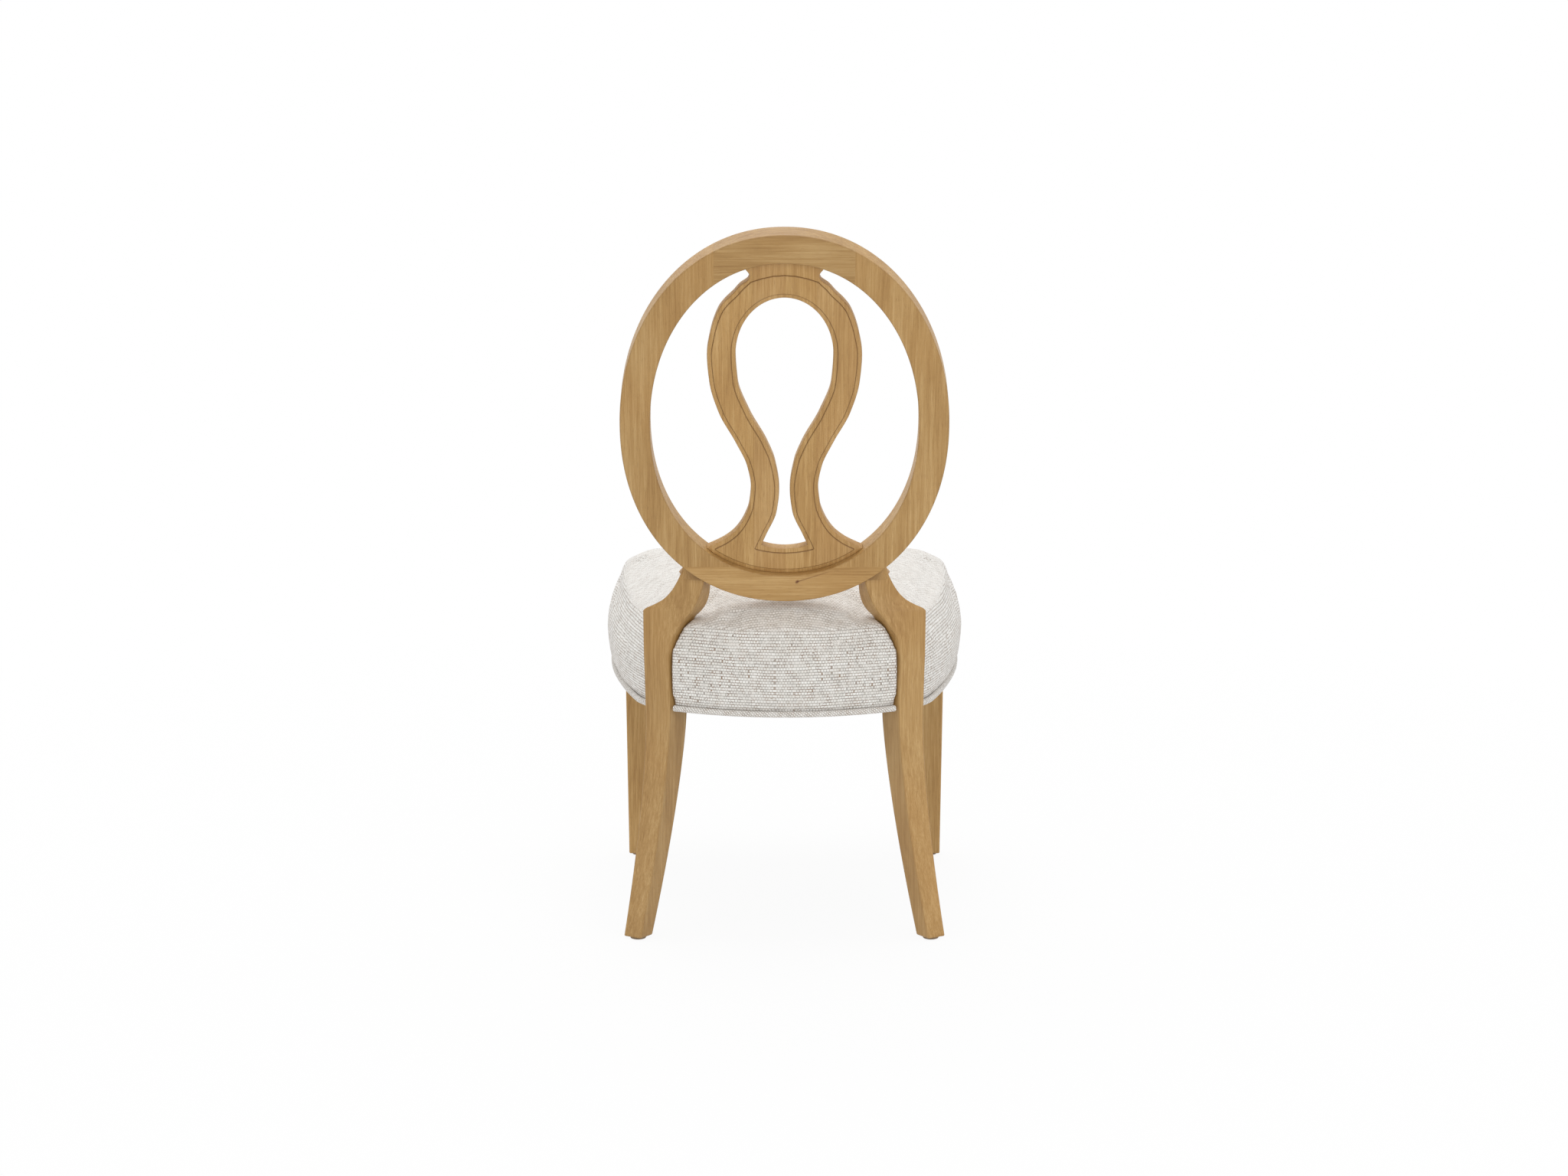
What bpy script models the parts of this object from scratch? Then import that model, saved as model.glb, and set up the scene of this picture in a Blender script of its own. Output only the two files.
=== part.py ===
"""Side chair with an oval loop back, sabre rear legs and an upholstered seat.

Metres, +Z up. The chair faces -Y and its back is at +Y. Inside the model the
rear feet's near corners lie at Y = 0; the parent empty moves the whole chair
so that the middle of its footprint is the origin.
"""

import math

import bmesh
import bpy
import numpy as np
from mathutils import Vector

# Fits
GAP = 0.0003            # between pieces that touch
LEG_NOTCH_GAP = 0.0012  # fabric and boards round a rear leg
CUT = 0.02              # how far a cutter runs past a face
FOLD_SLACK = 0.0001     # in the distance of an inner outline's points from the plan

# Back frame: an oval ring in a plane that leans back
RAKE = math.radians(21.0)
RING_HALF_WIDTH = 0.2224
RING_HALF_HEIGHT = 0.2775
RING_ROUNDNESS = 2.1    # superellipse exponent, 2 is an ellipse
RING_EGG = 0.025        # how much wider the lower half is
RING_BAND = 0.041
RING_THICKNESS = 0.030
RING_EDGE = 0.0022
RING_LOW_Y = -0.05445   # of the back face's lowest point
RING_LOW_Z = 0.47193
RING_CENTRE_Y = RING_LOW_Y + RING_HALF_HEIGHT * math.sin(RAKE)
RING_CENTRE_Z = RING_LOW_Z + RING_HALF_HEIGHT * math.cos(RAKE)
TOP_SEAM_X = 0.093
LOWER_SEAM_RISE = 0.0555    # above the ring's lowest point, along the lean
LOWER_SEAM_DROP = RING_HALF_HEIGHT - LOWER_SEAM_RISE

# Splat: a pierced loop board held in the ring
SPLAT_THICKNESS = 0.014
SPLAT_RECESS = 0.008
# Half widths of its outline at heights above the ring's centre, for a ring of
# the drawn half height; in another ring the outline stretches with it
SPLAT_DRAWN_HALF_HEIGHT = 0.2775
SPLAT_OUTER = [
    (0.2400, 0.0580), (0.2242, 0.0517), (0.2153, 0.0463), (0.2090, 0.0482),
    (0.2005, 0.0588), (0.1906, 0.0670), (0.1769, 0.0800), (0.1650, 0.0880),
    (0.1300, 0.0992), (0.0985, 0.1038), (0.0580, 0.1009), (0.0120, 0.0888),
    (-0.0340, 0.0660), (-0.0700, 0.0508), (-0.1000, 0.0460), (-0.1290, 0.0484),
    (-0.1500, 0.0552), (-0.1700, 0.0671), (-0.1840, 0.0826), (-0.1920, 0.0965),
    (-0.2020, 0.1160), (-0.2450, 0.1560),
]
SPLAT_HOLE_TOP = 0.1830
SPLAT_HOLE = [
    (0.1000, 0.0653), (0.0584, 0.0628), (0.0122, 0.0473), (-0.0344, 0.0236),
    (-0.0650, 0.0127), (-0.1053, 0.0072), (-0.1400, 0.0107), (-0.1764, 0.0250),
    (-0.1925, 0.0318),
]
SPLAT_HOLE_SAG = 0.0061

# Rear legs: square in section, turned about the vertical
LEG_TURN = math.radians(34.0)
LEG_CORNER_X = 0.160    # inner back corner at the seat's underside
LEG_CORNER_Y = -0.049
REAR_LEG_SIZE = 0.0425
REAR_FOOT_SIZE = 0.0287
FLARE = 0.0645
FLARE_HEIGHT = 0.305
FLARE_CURVE = 1.5
LEAN = 0.008
LEAN_HEIGHT = 0.457
POST_TOP = 0.395
# The neck above the post: height and half width of each of its four edges
NECK_OUTER_BACK = [
    (0.4568, 0.1977), (0.4602, 0.1950), (0.4663, 0.1822), (0.4742, 0.1689),
    (0.4932, 0.1533), (0.5239, 0.1410), (0.5600, 0.1370),
]
NECK_INNER_BACK = [
    (0.4193, 0.1576), (0.4323, 0.1499), (0.4475, 0.1392), (0.4609, 0.1285),
    (0.4888, 0.1154), (0.5039, 0.1116), (0.5600, 0.1080),
]
NECK_INNER_FRONT = [
    (0.4465, 0.1242), (0.4556, 0.1152), (0.4687, 0.1072), (0.4827, 0.1038),
    (0.4940, 0.1028), (0.5600, 0.1020),
]
NECK_OUTER_FRONT = [
    (0.4568, 0.1760), (0.4663, 0.1640), (0.4742, 0.1540), (0.4932, 0.1430),
    (0.5239, 0.1340), (0.5600, 0.1300),
]
# How far the neck's edges lie in front of the ring's back face, at its top
NECK_OUTER_RECESS = 0.014
NECK_INNER_RECESS = 0.002
NECK_FRONT_RECESS = 0.0305
# How far below the neck's top its edges start to lie against the ring
NECK_RUN_ON_RING = 0.0600
NECK_OUTER_RUN = 0.0361
# Where the neck's edges start to follow the ring: height and y
NECK_INNER_BEND = (0.4600, -0.0460)
NECK_FRONT_BEND = (0.4465, -0.0800)
NECK_OUTER_FRONT_Y = -0.0960

# Front legs
FRONT_LEG_SIZE = 0.038
FRONT_FOOT_SIZE = 0.030
FRONT_LEG_OUTER = 0.2430
FRONT_LEG_REAR = -0.4970

# Seat plan: corners of the fabric's lower edge, bowed sides, eased corners
REAR_CORNER_X = 0.190
REAR_CORNER_Y = -0.079
FRONT_CORNER_X = 0.2545
FRONT_CORNER_Y = -0.552
REAR_BOW = 0.069
SIDE_BOW = 0.0205
FRONT_BOW = 0.010
REAR_EASE = 0.045
FRONT_EASE = 0.045
SEAT_BOTTOM = 0.320
SEAT_EDGE = 0.449       # where the side turns into the top
SEAT_CROWN = 0.038
CROWN_POWER = 2.4
SEAT_EDGE_ROUND = 0.016
SIDE_BULGE = 0.0135
COVER_THICKNESS = 0.003
WELT_RADIUS = 0.0043
WELT_RISE = 0.0065      # of its top above the cover's rim

# Seat frame
RAIL_INSET = 0.018      # of its outer face from the seat's plan
RAIL_THICKNESS = 0.024
RAIL_BOTTOM = 0.3235
RAIL_HEIGHT = 0.080
TENON_LENGTH = 0.013
TENON_WEB = 0.004       # from a rear tenon's end to the leg's middle
TENON_THICKNESS = 0.009
TENON_SHOULDER = 0.014
DECK_THICKNESS = 0.009
DUST_COVER_THICKNESS = 0.0012
BRACE_WIDTH = 0.030
BRACE_HEIGHT = 0.040
BRACE_REACH = 0.10      # half its length before the rails cut it
BRACE_DROP = 0.012      # below the rails' top
BRACE_CLEARANCE = 0.004 # between a corner block and its leg

# Fixings
DOWEL_RADIUS = 0.004
RING_DOWEL_LENGTH = 0.028
RING_DOWEL_PITCH = 0.016
RING_DOWEL_DEPTH = 0.009    # from the ring's back face
SPLAT_DOWEL_RADIUS = 0.003
SPLAT_DOWEL_LENGTH = 0.028
TOP_DOWEL_X = 0.022
FOOT_DOWEL_X = 0.052
NECK_DOWEL_LENGTH = 0.034
NECK_DOWEL_PITCH = 0.016
NECK_DOWEL_X = 0.1265
NECK_DOWEL_DEPTH = 0.0215
BOLT_RADIUS = 0.003
BOLT_HEAD_RADIUS = 0.0065
BOLT_HEAD_HEIGHT = 0.004
BOLT_LENGTH = 0.056
SCREW_RADIUS = 0.002
SCREW_HEAD_RADIUS = 0.004
SCREW_HEAD_HEIGHT = 0.0025
SCREW_LENGTH = 0.032
SCREW_SPREAD = 0.026
HEAD_TOP = 0.8          # a domed head's flat top, as a share of its radius
HEAD_DOME = 0.4         # the domed share of a head's height
GLIDE_RADIUS = 0.011
GLIDE_HEIGHT = 0.004
GLIDE_STEM_RADIUS = 0.002
GLIDE_STEM_LENGTH = 0.014
GLIDE_EASE = 0.001      # bevel of its lower edge

# How finely curves are faceted
RING_STEPS = {"top": 18, "side": 28, "bottom": 22}
SPLAT_SIDE_STEPS = 52
HOLE_CAP_STEPS = 9
HOLE_SIDE_STEPS = 20
HOLE_FOOT_STEPS = 5
PLAN_STEPS = 7          # per edge of the seat's plan
PLAN_CORNER_STEPS = 5
PLAN_FINE_STEPS = 64    # along an edge of the plan when its length is measured
BEND_STEPS = 3          # where the seat's side turns into its top
RAIL_STEPS = 20
WELT_SIDES = 8
# Rings over the seat's top, as shares of the way out from its middle
TOP_SHARES = (0.92, 0.70, 0.36)
UNDER_SHARES = (0.70,)
LEG_STEPS = 20
NECK_STEPS = 26
ROUND_SIDES = 16
TURN_STEP = 0.01        # between the oval's points that give its direction, rad
TURN_MARGIN = 0.1       # keeps a search for a seam off the oval's side and top, rad
FAR = 1.0               # beyond every side of the chair
ROUND_SHADE = 40        # faces that meet at less than these look smooth, degrees
RING_SHADE = 30
COVER_SHADE = 50
WELT_SHADE = 60

MATERIALS = {
    "oak": ((0.45, 0.26, 0.11), 0.45, 0.0),
    "oak_light": ((0.50, 0.30, 0.13), 0.45, 0.0),
    "beech": ((0.56, 0.38, 0.22), 0.60, 0.0),
    "plywood": ((0.55, 0.40, 0.25), 0.70, 0.0),
    "fabric": ((0.74, 0.70, 0.65), 0.95, 0.0),
    "foam": ((0.85, 0.78, 0.60), 0.95, 0.0),
    "lining": ((0.03, 0.03, 0.03), 0.90, 0.0),
    "steel": ((0.60, 0.60, 0.62), 0.35, 1.0),
    "nylon": ((0.06, 0.05, 0.04), 0.55, 0.0),
}


def clear_scene():
    for item in list(bpy.data.objects):
        bpy.data.objects.remove(item, do_unlink=True)


def material(name):
    found = bpy.data.materials.get(name)
    if found:
        return found
    colour, roughness, metallic = MATERIALS[name]
    made = bpy.data.materials.new(name)
    made.use_nodes = True
    shader = made.node_tree.nodes["Principled BSDF"]
    shader.inputs["Base Color"].default_value = (*colour, 1.0)
    shader.inputs["Roughness"].default_value = roughness
    shader.inputs["Metallic"].default_value = metallic
    made.diffuse_color = (*colour, 1.0)
    return made


def add_object(name, mesh, parent, finish=None):
    made = bpy.data.objects.new(name, mesh)
    bpy.context.scene.collection.objects.link(made)
    made.parent = parent
    if finish:
        mesh.materials.append(material(finish))
    else:
        made.hide_render = True
        made.display_type = "WIRE"
    return made


def add_empty(name, parent=None, location=(0, 0, 0), lean=0.0):
    made = bpy.data.objects.new(name, None)
    bpy.context.scene.collection.objects.link(made)
    made.parent = parent
    made.location = location
    made.rotation_euler = (lean, 0, 0)
    return made


def boolean(target, cutter, operation="DIFFERENCE"):
    modifier = target.modifiers.new(operation.lower(), "BOOLEAN")
    modifier.operation = operation
    modifier.object = cutter
    modifier.solver = "EXACT"


def smooth_curve(knots, at):
    """Monotone cubic through (position, value) knots, read at any positions."""
    knots = sorted(knots)
    x = np.array([k[0] for k in knots])
    y = np.array([k[1] for k in knots])
    h = np.diff(x)
    slope = np.diff(y) / h
    tangent = np.zeros(len(x))
    tangent[0], tangent[-1] = slope[0], slope[-1]
    for i in range(1, len(x) - 1):
        if slope[i - 1] * slope[i] > 0:
            left = 2 * h[i] + h[i - 1]
            right = h[i] + 2 * h[i - 1]
            tangent[i] = (left + right) / (left / slope[i - 1] + right / slope[i])
    at = np.atleast_1d(np.asarray(at, float))
    i = np.clip(np.searchsorted(x, at) - 1, 0, len(h) - 1)
    t = (at - x[i]) / h[i]
    a = (1 + 2 * t) * (1 - t) ** 2 * y[i] + t * (1 - t) ** 2 * h[i] * tangent[i]
    b = t * t * (3 - 2 * t) * y[i + 1] + t * t * (t - 1) * h[i] * tangent[i + 1]
    return a + b


def mesh_from_rings(name, rings, closed_ends=True, loop=False):
    """Skins a list of equal rings of points, outward faces made sure of."""
    made = bmesh.new()
    rows = [[made.verts.new(p) for p in ring] for ring in rings]
    count = len(rows[0])
    pairs = list(zip(rows, rows[1:] + rows[:1])) if loop else list(zip(rows, rows[1:]))
    for low, high in pairs:
        for i in range(count):
            j = (i + 1) % count
            made.faces.new((low[i], low[j], high[j], high[i]))
    if closed_ends and not loop:
        made.faces.new(rows[0])
        made.faces.new(rows[-1])
    return finish_mesh(name, made)


def finish_mesh(name, made):
    bmesh.ops.recalc_face_normals(made, faces=made.faces)
    if made.calc_volume(signed=True) < 0:
        bmesh.ops.reverse_faces(made, faces=made.faces)
    mesh = bpy.data.meshes.new(name)
    made.to_mesh(mesh)
    made.free()
    return mesh


def prism_mesh(name, outline, low, high, axis="Z"):
    """Extrudes a flat outline along Z, or along Y for outlines in the back's plane."""
    if axis == "Z":
        rings = [[(p[0], p[1], level) for p in outline] for level in (low, high)]
    else:
        rings = [[(p[0], level, p[1]) for p in outline] for level in (low, high)]
    return mesh_from_rings(name, rings)


def rod_mesh(name, start, direction, steps, sides=ROUND_SIDES):
    """A turned piece: steps are (distance along the axis, radius) pairs."""
    direction = Vector(direction).normalized()
    side = direction.orthogonal().normalized()
    other = direction.cross(side)
    rings = []
    for along, radius in steps:
        centre = Vector(start) + direction * along
        ring = []
        for k in range(sides):
            turn = 2 * math.pi * k / sides
            ring.append(centre + radius * (math.cos(turn) * side + math.sin(turn) * other))
        rings.append(ring)
    mesh = mesh_from_rings(name, rings)
    mesh.shade_smooth()
    mesh.set_sharp_from_angle(angle=math.radians(ROUND_SHADE))
    return mesh


def plain_rod(name, start, direction, length, radius):
    return rod_mesh(name, start, direction, [(0, radius), (length, radius)])


# Ring geometry, in the back's own plane: x across, z up the lean, y towards the back

def oval_point(t, inset):
    """A point on the oval at angle t, moved in by an inset square to its edge."""
    def outer(angle):
        c, s = math.cos(angle), math.sin(angle)
        power = 2 / RING_ROUNDNESS
        x = RING_HALF_WIDTH * math.copysign(abs(c) ** power, c) * (1 - RING_EGG * s)
        z = RING_HALF_HEIGHT * math.copysign(abs(s) ** power, s)
        return x, z
    x, z = outer(t)
    ahead, behind = outer(t + TURN_STEP), outer(t - TURN_STEP)
    dx, dz = ahead[0] - behind[0], ahead[1] - behind[1]
    size = math.hypot(dx, dz)
    return x - dz / size * inset, z + dx / size * inset


def oval_outline(inset, count=112):
    return [oval_point(2 * math.pi * (k + 0.5) / count, inset) for k in range(count)]


def angle_where(test, low, high, inset):
    """The angle between low and high where test(x, z) changes sign."""
    sign = test(*oval_point(low, inset)) > 0
    for _ in range(50):
        middle = (low + high) / 2
        if (test(*oval_point(middle, inset)) > 0) == sign:
            low = middle
        else:
            high = middle
    return (low + high) / 2


def ring_section():
    """Inset and depth of the band's corners, edges taken off."""
    e, w, d = RING_EDGE, RING_BAND, RING_THICKNESS
    return [
        (0, -e), (e, 0), (w - e, 0), (w, -e),
        (w, -d + e), (w - e, -d), (e, -d), (0, -d + e),
    ]


def ring_segment_mesh(name, seams, steps):
    """Sweeps the band between two seams; each seam is (test, low angle, high angle)."""
    section = ring_section()
    ends = []
    for test, low, high in seams:
        ends.append([angle_where(test, low, high, inset) for inset, _ in section])
    rings = []
    for k in range(steps + 1):
        share = k / steps
        ring = []
        for (inset, depth), a, b in zip(section, ends[0], ends[1]):
            x, z = oval_point(a + (b - a) * share, inset)
            ring.append((x, depth, z))
        rings.append(ring)
    mesh = mesh_from_rings(name, rings)
    mesh.shade_smooth()
    mesh.set_sharp_from_angle(angle=math.radians(RING_SHADE))
    return mesh


def ring_back_y(height):
    """Y of the ring's back face at a height above the floor."""
    return RING_CENTRE_Y - (RING_CENTRE_Z - height) * math.tan(RAKE)


def make_ring(plane):
    half = GAP / 2
    quarter = math.pi / 2
    pieces = {}

    def across(x):
        return lambda px, pz: px - x

    def up(z):
        return lambda px, pz: pz - z

    drop = -LOWER_SEAM_DROP
    plans = {
        "back_ring_top": (
            [(across(TOP_SEAM_X - half), TURN_MARGIN, quarter),
             (across(-TOP_SEAM_X + half), quarter, math.pi - TURN_MARGIN)], RING_STEPS["top"]),
        "back_ring_left": (
            [(up(drop + half), -quarter, 0.0),
             (across(TOP_SEAM_X + half), TURN_MARGIN, quarter)], RING_STEPS["side"]),
        "back_ring_right": (
            [(across(-TOP_SEAM_X - half), quarter, math.pi - TURN_MARGIN),
             (up(drop + half), math.pi, math.pi + quarter)], RING_STEPS["side"]),
        "back_ring_bottom": (
            [(up(drop - half), math.pi, math.pi + quarter),
             (up(drop - half), 3 * quarter, 4 * quarter)], RING_STEPS["bottom"]),
    }
    for name, (seams, steps) in plans.items():
        mesh = ring_segment_mesh(name, seams, steps)
        pieces[name] = add_object(name, mesh, plane, "oak")
    return pieces


def splat_stretch():
    return RING_HALF_HEIGHT / SPLAT_DRAWN_HALF_HEIGHT


def half_outline(knots, steps):
    heights = np.linspace(knots[0][0], knots[-1][0], steps)
    return list(zip(smooth_curve(knots, heights), heights * splat_stretch()))


def mirrored(side):
    """A closed outline from its +X half, listed top to bottom."""
    return side + [(-x, z) for x, z in reversed(side)]


def splat_hole_outline():
    """The loop's opening: half an ellipse, two curved sides and a sagging foot."""
    side = []
    stretch = splat_stretch()
    widest, cap_half = SPLAT_HOLE[0]
    top = SPLAT_HOLE_TOP * stretch
    cap_low = widest * stretch
    for k in range(1, HOLE_CAP_STEPS):
        turn = math.pi / 2 * (1 - k / HOLE_CAP_STEPS)
        side.append((cap_half * math.cos(turn), cap_low + (top - cap_low) * math.sin(turn)))
    side += half_outline(SPLAT_HOLE, HOLE_SIDE_STEPS)
    foot_half, foot_z = SPLAT_HOLE[-1][1], SPLAT_HOLE[-1][0] * stretch
    for k in range(1, HOLE_FOOT_STEPS):
        x = foot_half * (1 - k / HOLE_FOOT_STEPS)
        side.append((x, foot_z - SPLAT_HOLE_SAG * (1 - (x / foot_half) ** 2)))
    centre_top = [(0.0, top)]
    centre_foot = [(0.0, foot_z - SPLAT_HOLE_SAG)]
    return centre_top + side + centre_foot + [(-x, z) for x, z in reversed(side)]


def make_splat(plane):
    back = -SPLAT_RECESS
    front = back - SPLAT_THICKNESS
    outline = mirrored(half_outline(SPLAT_OUTER, SPLAT_SIDE_STEPS))
    splat = add_object("splat", prism_mesh("splat", outline, front, back, "Y"), plane, "oak_light")
    inner = prism_mesh("splat_limit", oval_outline(RING_BAND + 2 * GAP), front - CUT, back + CUT, "Y")
    boolean(splat, add_object("splat_limit", inner, plane), "INTERSECT")
    hole = prism_mesh("splat_hole", splat_hole_outline(), front - CUT, back + CUT, "Y")
    boolean(splat, add_object("splat_hole", hole, plane))
    return splat


def add_dowel(name, parent, centre, direction, length, radius, hosts, finish="beech"):
    """A dowel with a clearance hole for it in each host."""
    direction = Vector(direction).normalized()
    start = Vector(centre) - direction * length / 2
    add_object(name, plain_rod(name, start, direction, length, radius), parent, finish)
    hole = plain_rod(
        name + "_hole", start - direction * GAP, direction, length + 2 * GAP, radius + GAP)
    cutter = add_object(name + "_hole", hole, parent)
    for host in hosts:
        boolean(host, cutter)


def make_back_dowels(plane, ring, splat, legs):
    middle = -RING_DOWEL_DEPTH
    quarter = math.pi / 2
    inset = RING_BAND / 2
    turn = angle_where(lambda x, z: x - TOP_SEAM_X, TURN_MARGIN, quarter, inset)
    seam_z = oval_point(turn, inset)[1]
    turn = angle_where(lambda x, z: z + LOWER_SEAM_DROP, -quarter, 0.0, inset)
    seam_x = oval_point(turn, inset)[0]
    for side, sign in (("left", 1), ("right", -1)):
        flank = ring["back_ring_" + side]
        for k, shift in enumerate((-RING_DOWEL_PITCH / 2, RING_DOWEL_PITCH / 2)):
            place = (sign * TOP_SEAM_X, middle, seam_z + shift)
            add_dowel(
                f"ring_dowel_top_{side}_{k + 1}", plane, place, (1, 0, 0),
                RING_DOWEL_LENGTH, DOWEL_RADIUS, [ring["back_ring_top"], flank])
            place = (sign * (seam_x + shift), middle, -LOWER_SEAM_DROP)
            add_dowel(
                f"ring_dowel_bottom_{side}_{k + 1}", plane, place, (0, 0, 1),
                RING_DOWEL_LENGTH, DOWEL_RADIUS, [ring["back_ring_bottom"], flank])
    depth = -SPLAT_RECESS - SPLAT_THICKNESS / 2
    for side, sign in (("left", 1), ("right", -1)):
        for where, x, host, span in (
            ("top", TOP_DOWEL_X, "back_ring_top", (TURN_MARGIN, quarter)),
            ("bottom", FOOT_DOWEL_X, "back_ring_bottom", (-quarter, -TURN_MARGIN)),
        ):
            turn = angle_where(lambda px, pz: px - x, *span, RING_BAND)
            z = oval_point(turn, RING_BAND)[1]
            add_dowel(
                f"splat_dowel_{where}_{side}", plane, (sign * x, depth, z), (0, 0, 1),
                SPLAT_DOWEL_LENGTH, SPLAT_DOWEL_RADIUS, [ring[host], splat])
    turn = angle_where(lambda px, pz: px - NECK_DOWEL_X, -quarter, -TURN_MARGIN, 0.0)
    at = Vector(oval_point(turn, 0.0)).to_3d()
    inward = (Vector(oval_point(turn, RING_BAND)).to_3d() - at).normalized()
    for side, sign in (("left", 1), ("right", -1)):
        for k, shift in enumerate((-NECK_DOWEL_PITCH / 2, NECK_DOWEL_PITCH / 2)):
            x = at.x - inward.y * shift
            z = at.y + inward.x * shift
            add_dowel(
                f"neck_dowel_{side}_{k + 1}", plane, (sign * x, -NECK_DOWEL_DEPTH, z),
                (sign * inward.x, 0, inward.y), NECK_DOWEL_LENGTH, DOWEL_RADIUS,
                [ring["back_ring_bottom"], ring["back_ring_" + side], legs[side]])


# Rear legs

def leg_frame():
    """Unit vectors of the turned leg in plan: in along its back face, and backwards."""
    inward = Vector((-math.cos(LEG_TURN), math.sin(LEG_TURN)))
    backward = Vector((math.sin(LEG_TURN), math.cos(LEG_TURN)))
    return inward, backward


def post_corners(height, grow=0.0):
    """Plan corners of the leg below its neck: outer back, inner back, inner front, outer front."""
    inward, backward = leg_frame()
    drop = max(0.0, min(1.0, (SEAT_BOTTOM - height) / SEAT_BOTTOM))
    size = REAR_LEG_SIZE - (REAR_LEG_SIZE - REAR_FOOT_SIZE) * drop
    trim = (REAR_LEG_SIZE - size) / 2
    below = max(0.0, FLARE_HEIGHT - height) / FLARE_HEIGHT
    above = max(0.0, height - FLARE_HEIGHT) / (LEAN_HEIGHT - FLARE_HEIGHT)
    sweep = FLARE * below ** FLARE_CURVE + LEAN * above ** FLARE_CURVE
    origin = Vector((LEG_CORNER_X, LEG_CORNER_Y)) - inward * trim + backward * sweep
    reach = size + grow
    return [
        origin - inward * reach + backward * grow,
        origin + inward * grow + backward * grow,
        origin + inward * grow - backward * reach,
        origin - inward * reach - backward * reach,
    ]


def neck_edges(grow=0.0):
    """For each of the four edges: knots of height to x, and of height to y."""
    start = post_corners(POST_TOP)
    outer_top = LEAN_HEIGHT
    top = NECK_OUTER_BACK[-1][0]
    at_ring = top - NECK_RUN_ON_RING
    # A horizontal cut through the leaning ring is longer than its thickness
    tilt = 1 / math.cos(RAKE)

    def to_ring(height, recess):
        return height, ring_back_y(height) - recess * tilt

    post = post_corners(outer_top)
    outer_y = [(outer_top, post[0].y), to_ring(top - NECK_OUTER_RUN, NECK_OUTER_RECESS),
               to_ring(top, NECK_OUTER_RECESS)]
    inner_y = [NECK_INNER_BEND, to_ring(at_ring, NECK_INNER_RECESS),
               to_ring(top, NECK_INNER_RECESS)]
    inner_front_y = [NECK_FRONT_BEND, to_ring(at_ring, NECK_FRONT_RECESS),
                     to_ring(top, NECK_FRONT_RECESS)]
    outer_front_y = [(outer_top, NECK_OUTER_FRONT_Y), to_ring(at_ring, NECK_FRONT_RECESS),
                     to_ring(top, NECK_FRONT_RECESS)]
    widths = (NECK_OUTER_BACK, NECK_INNER_BACK, NECK_INNER_FRONT, NECK_OUTER_FRONT)
    depths = (outer_y, inner_y, inner_front_y, outer_front_y)
    signs = ((1, 1), (-1, 1), (-1, -1), (1, -1))
    edges = []
    for corner, xs, ys, (out, back) in zip(start, widths, depths, signs):
        x_knots = [(POST_TOP, corner.x)] + list(xs)
        y_knots = [(POST_TOP, corner.y)] + list(ys)
        edges.append((x_knots, y_knots, out * grow, back * grow))
    return edges


def leg_rings(grow=0.0, low=GLIDE_HEIGHT, sign=1):
    """Cross sections of a rear leg from the foot up into the ring."""
    rings = []
    for height in np.linspace(low, POST_TOP, LEG_STEPS):
        rings.append([(sign * c.x, c.y, height) for c in post_corners(height, grow)])
    shoulder = NECK_OUTER_BACK[0][0]
    top = NECK_OUTER_BACK[-1][0]
    below = np.linspace(POST_TOP, shoulder, NECK_STEPS // 2)[1:]
    above = np.linspace(shoulder, top, NECK_STEPS)[1:]
    edges = neck_edges(grow)
    for height in np.concatenate([below, above]):
        ring = []
        for x_knots, y_knots, dx, dy in edges:
            x = float(smooth_curve(x_knots, height)[0]) + dx
            y = float(smooth_curve(y_knots, height)[0]) + dy
            ring.append((sign * x, y, float(height)))
        rings.append(ring)
    return rings


def make_rear_legs(chair, plane):
    envelope = prism_mesh("ring_envelope", oval_outline(-GAP), -FAR, FAR, "Y")
    cutter = add_object("ring_envelope", envelope, plane)
    legs = {}
    for side, sign in (("left", 1), ("right", -1)):
        name = f"rear_leg_{side}"
        legs[side] = add_object(name, mesh_from_rings(name, leg_rings(sign=sign)), chair, "oak")
        boolean(legs[side], cutter)
    return legs


def leg_notches(chair, gap):
    """Cutters a little larger than the rear legs."""
    made = []
    for sign in (1, -1):
        mesh = mesh_from_rings("leg_notch", leg_rings(gap, SEAT_BOTTOM - CUT, sign))
        made.append(add_object("leg_notch", mesh, chair))
    return made


# Front legs

def front_leg_square(size):
    """Plan centre and half size; the taper is even on all four sides."""
    centre_x = FRONT_LEG_OUTER - FRONT_LEG_SIZE / 2
    centre_y = FRONT_LEG_REAR - FRONT_LEG_SIZE / 2
    h = size / 2
    return [
        (centre_x - h, centre_y - h), (centre_x + h, centre_y - h),
        (centre_x + h, centre_y + h), (centre_x - h, centre_y + h),
    ]


def make_front_legs(chair):
    top = RAIL_BOTTOM + RAIL_HEIGHT
    legs = {}
    for side, sign in (("left", 1), ("right", -1)):
        rings = []
        for height, size in (
            (GLIDE_HEIGHT, FRONT_FOOT_SIZE),
            (SEAT_BOTTOM, FRONT_LEG_SIZE),
            (top, FRONT_LEG_SIZE),
        ):
            rings.append([(sign * x, y, height) for x, y in front_leg_square(size)])
        name = f"front_leg_{side}"
        legs[side] = add_object(name, mesh_from_rings(name, rings), chair, "oak")
    return legs


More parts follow.
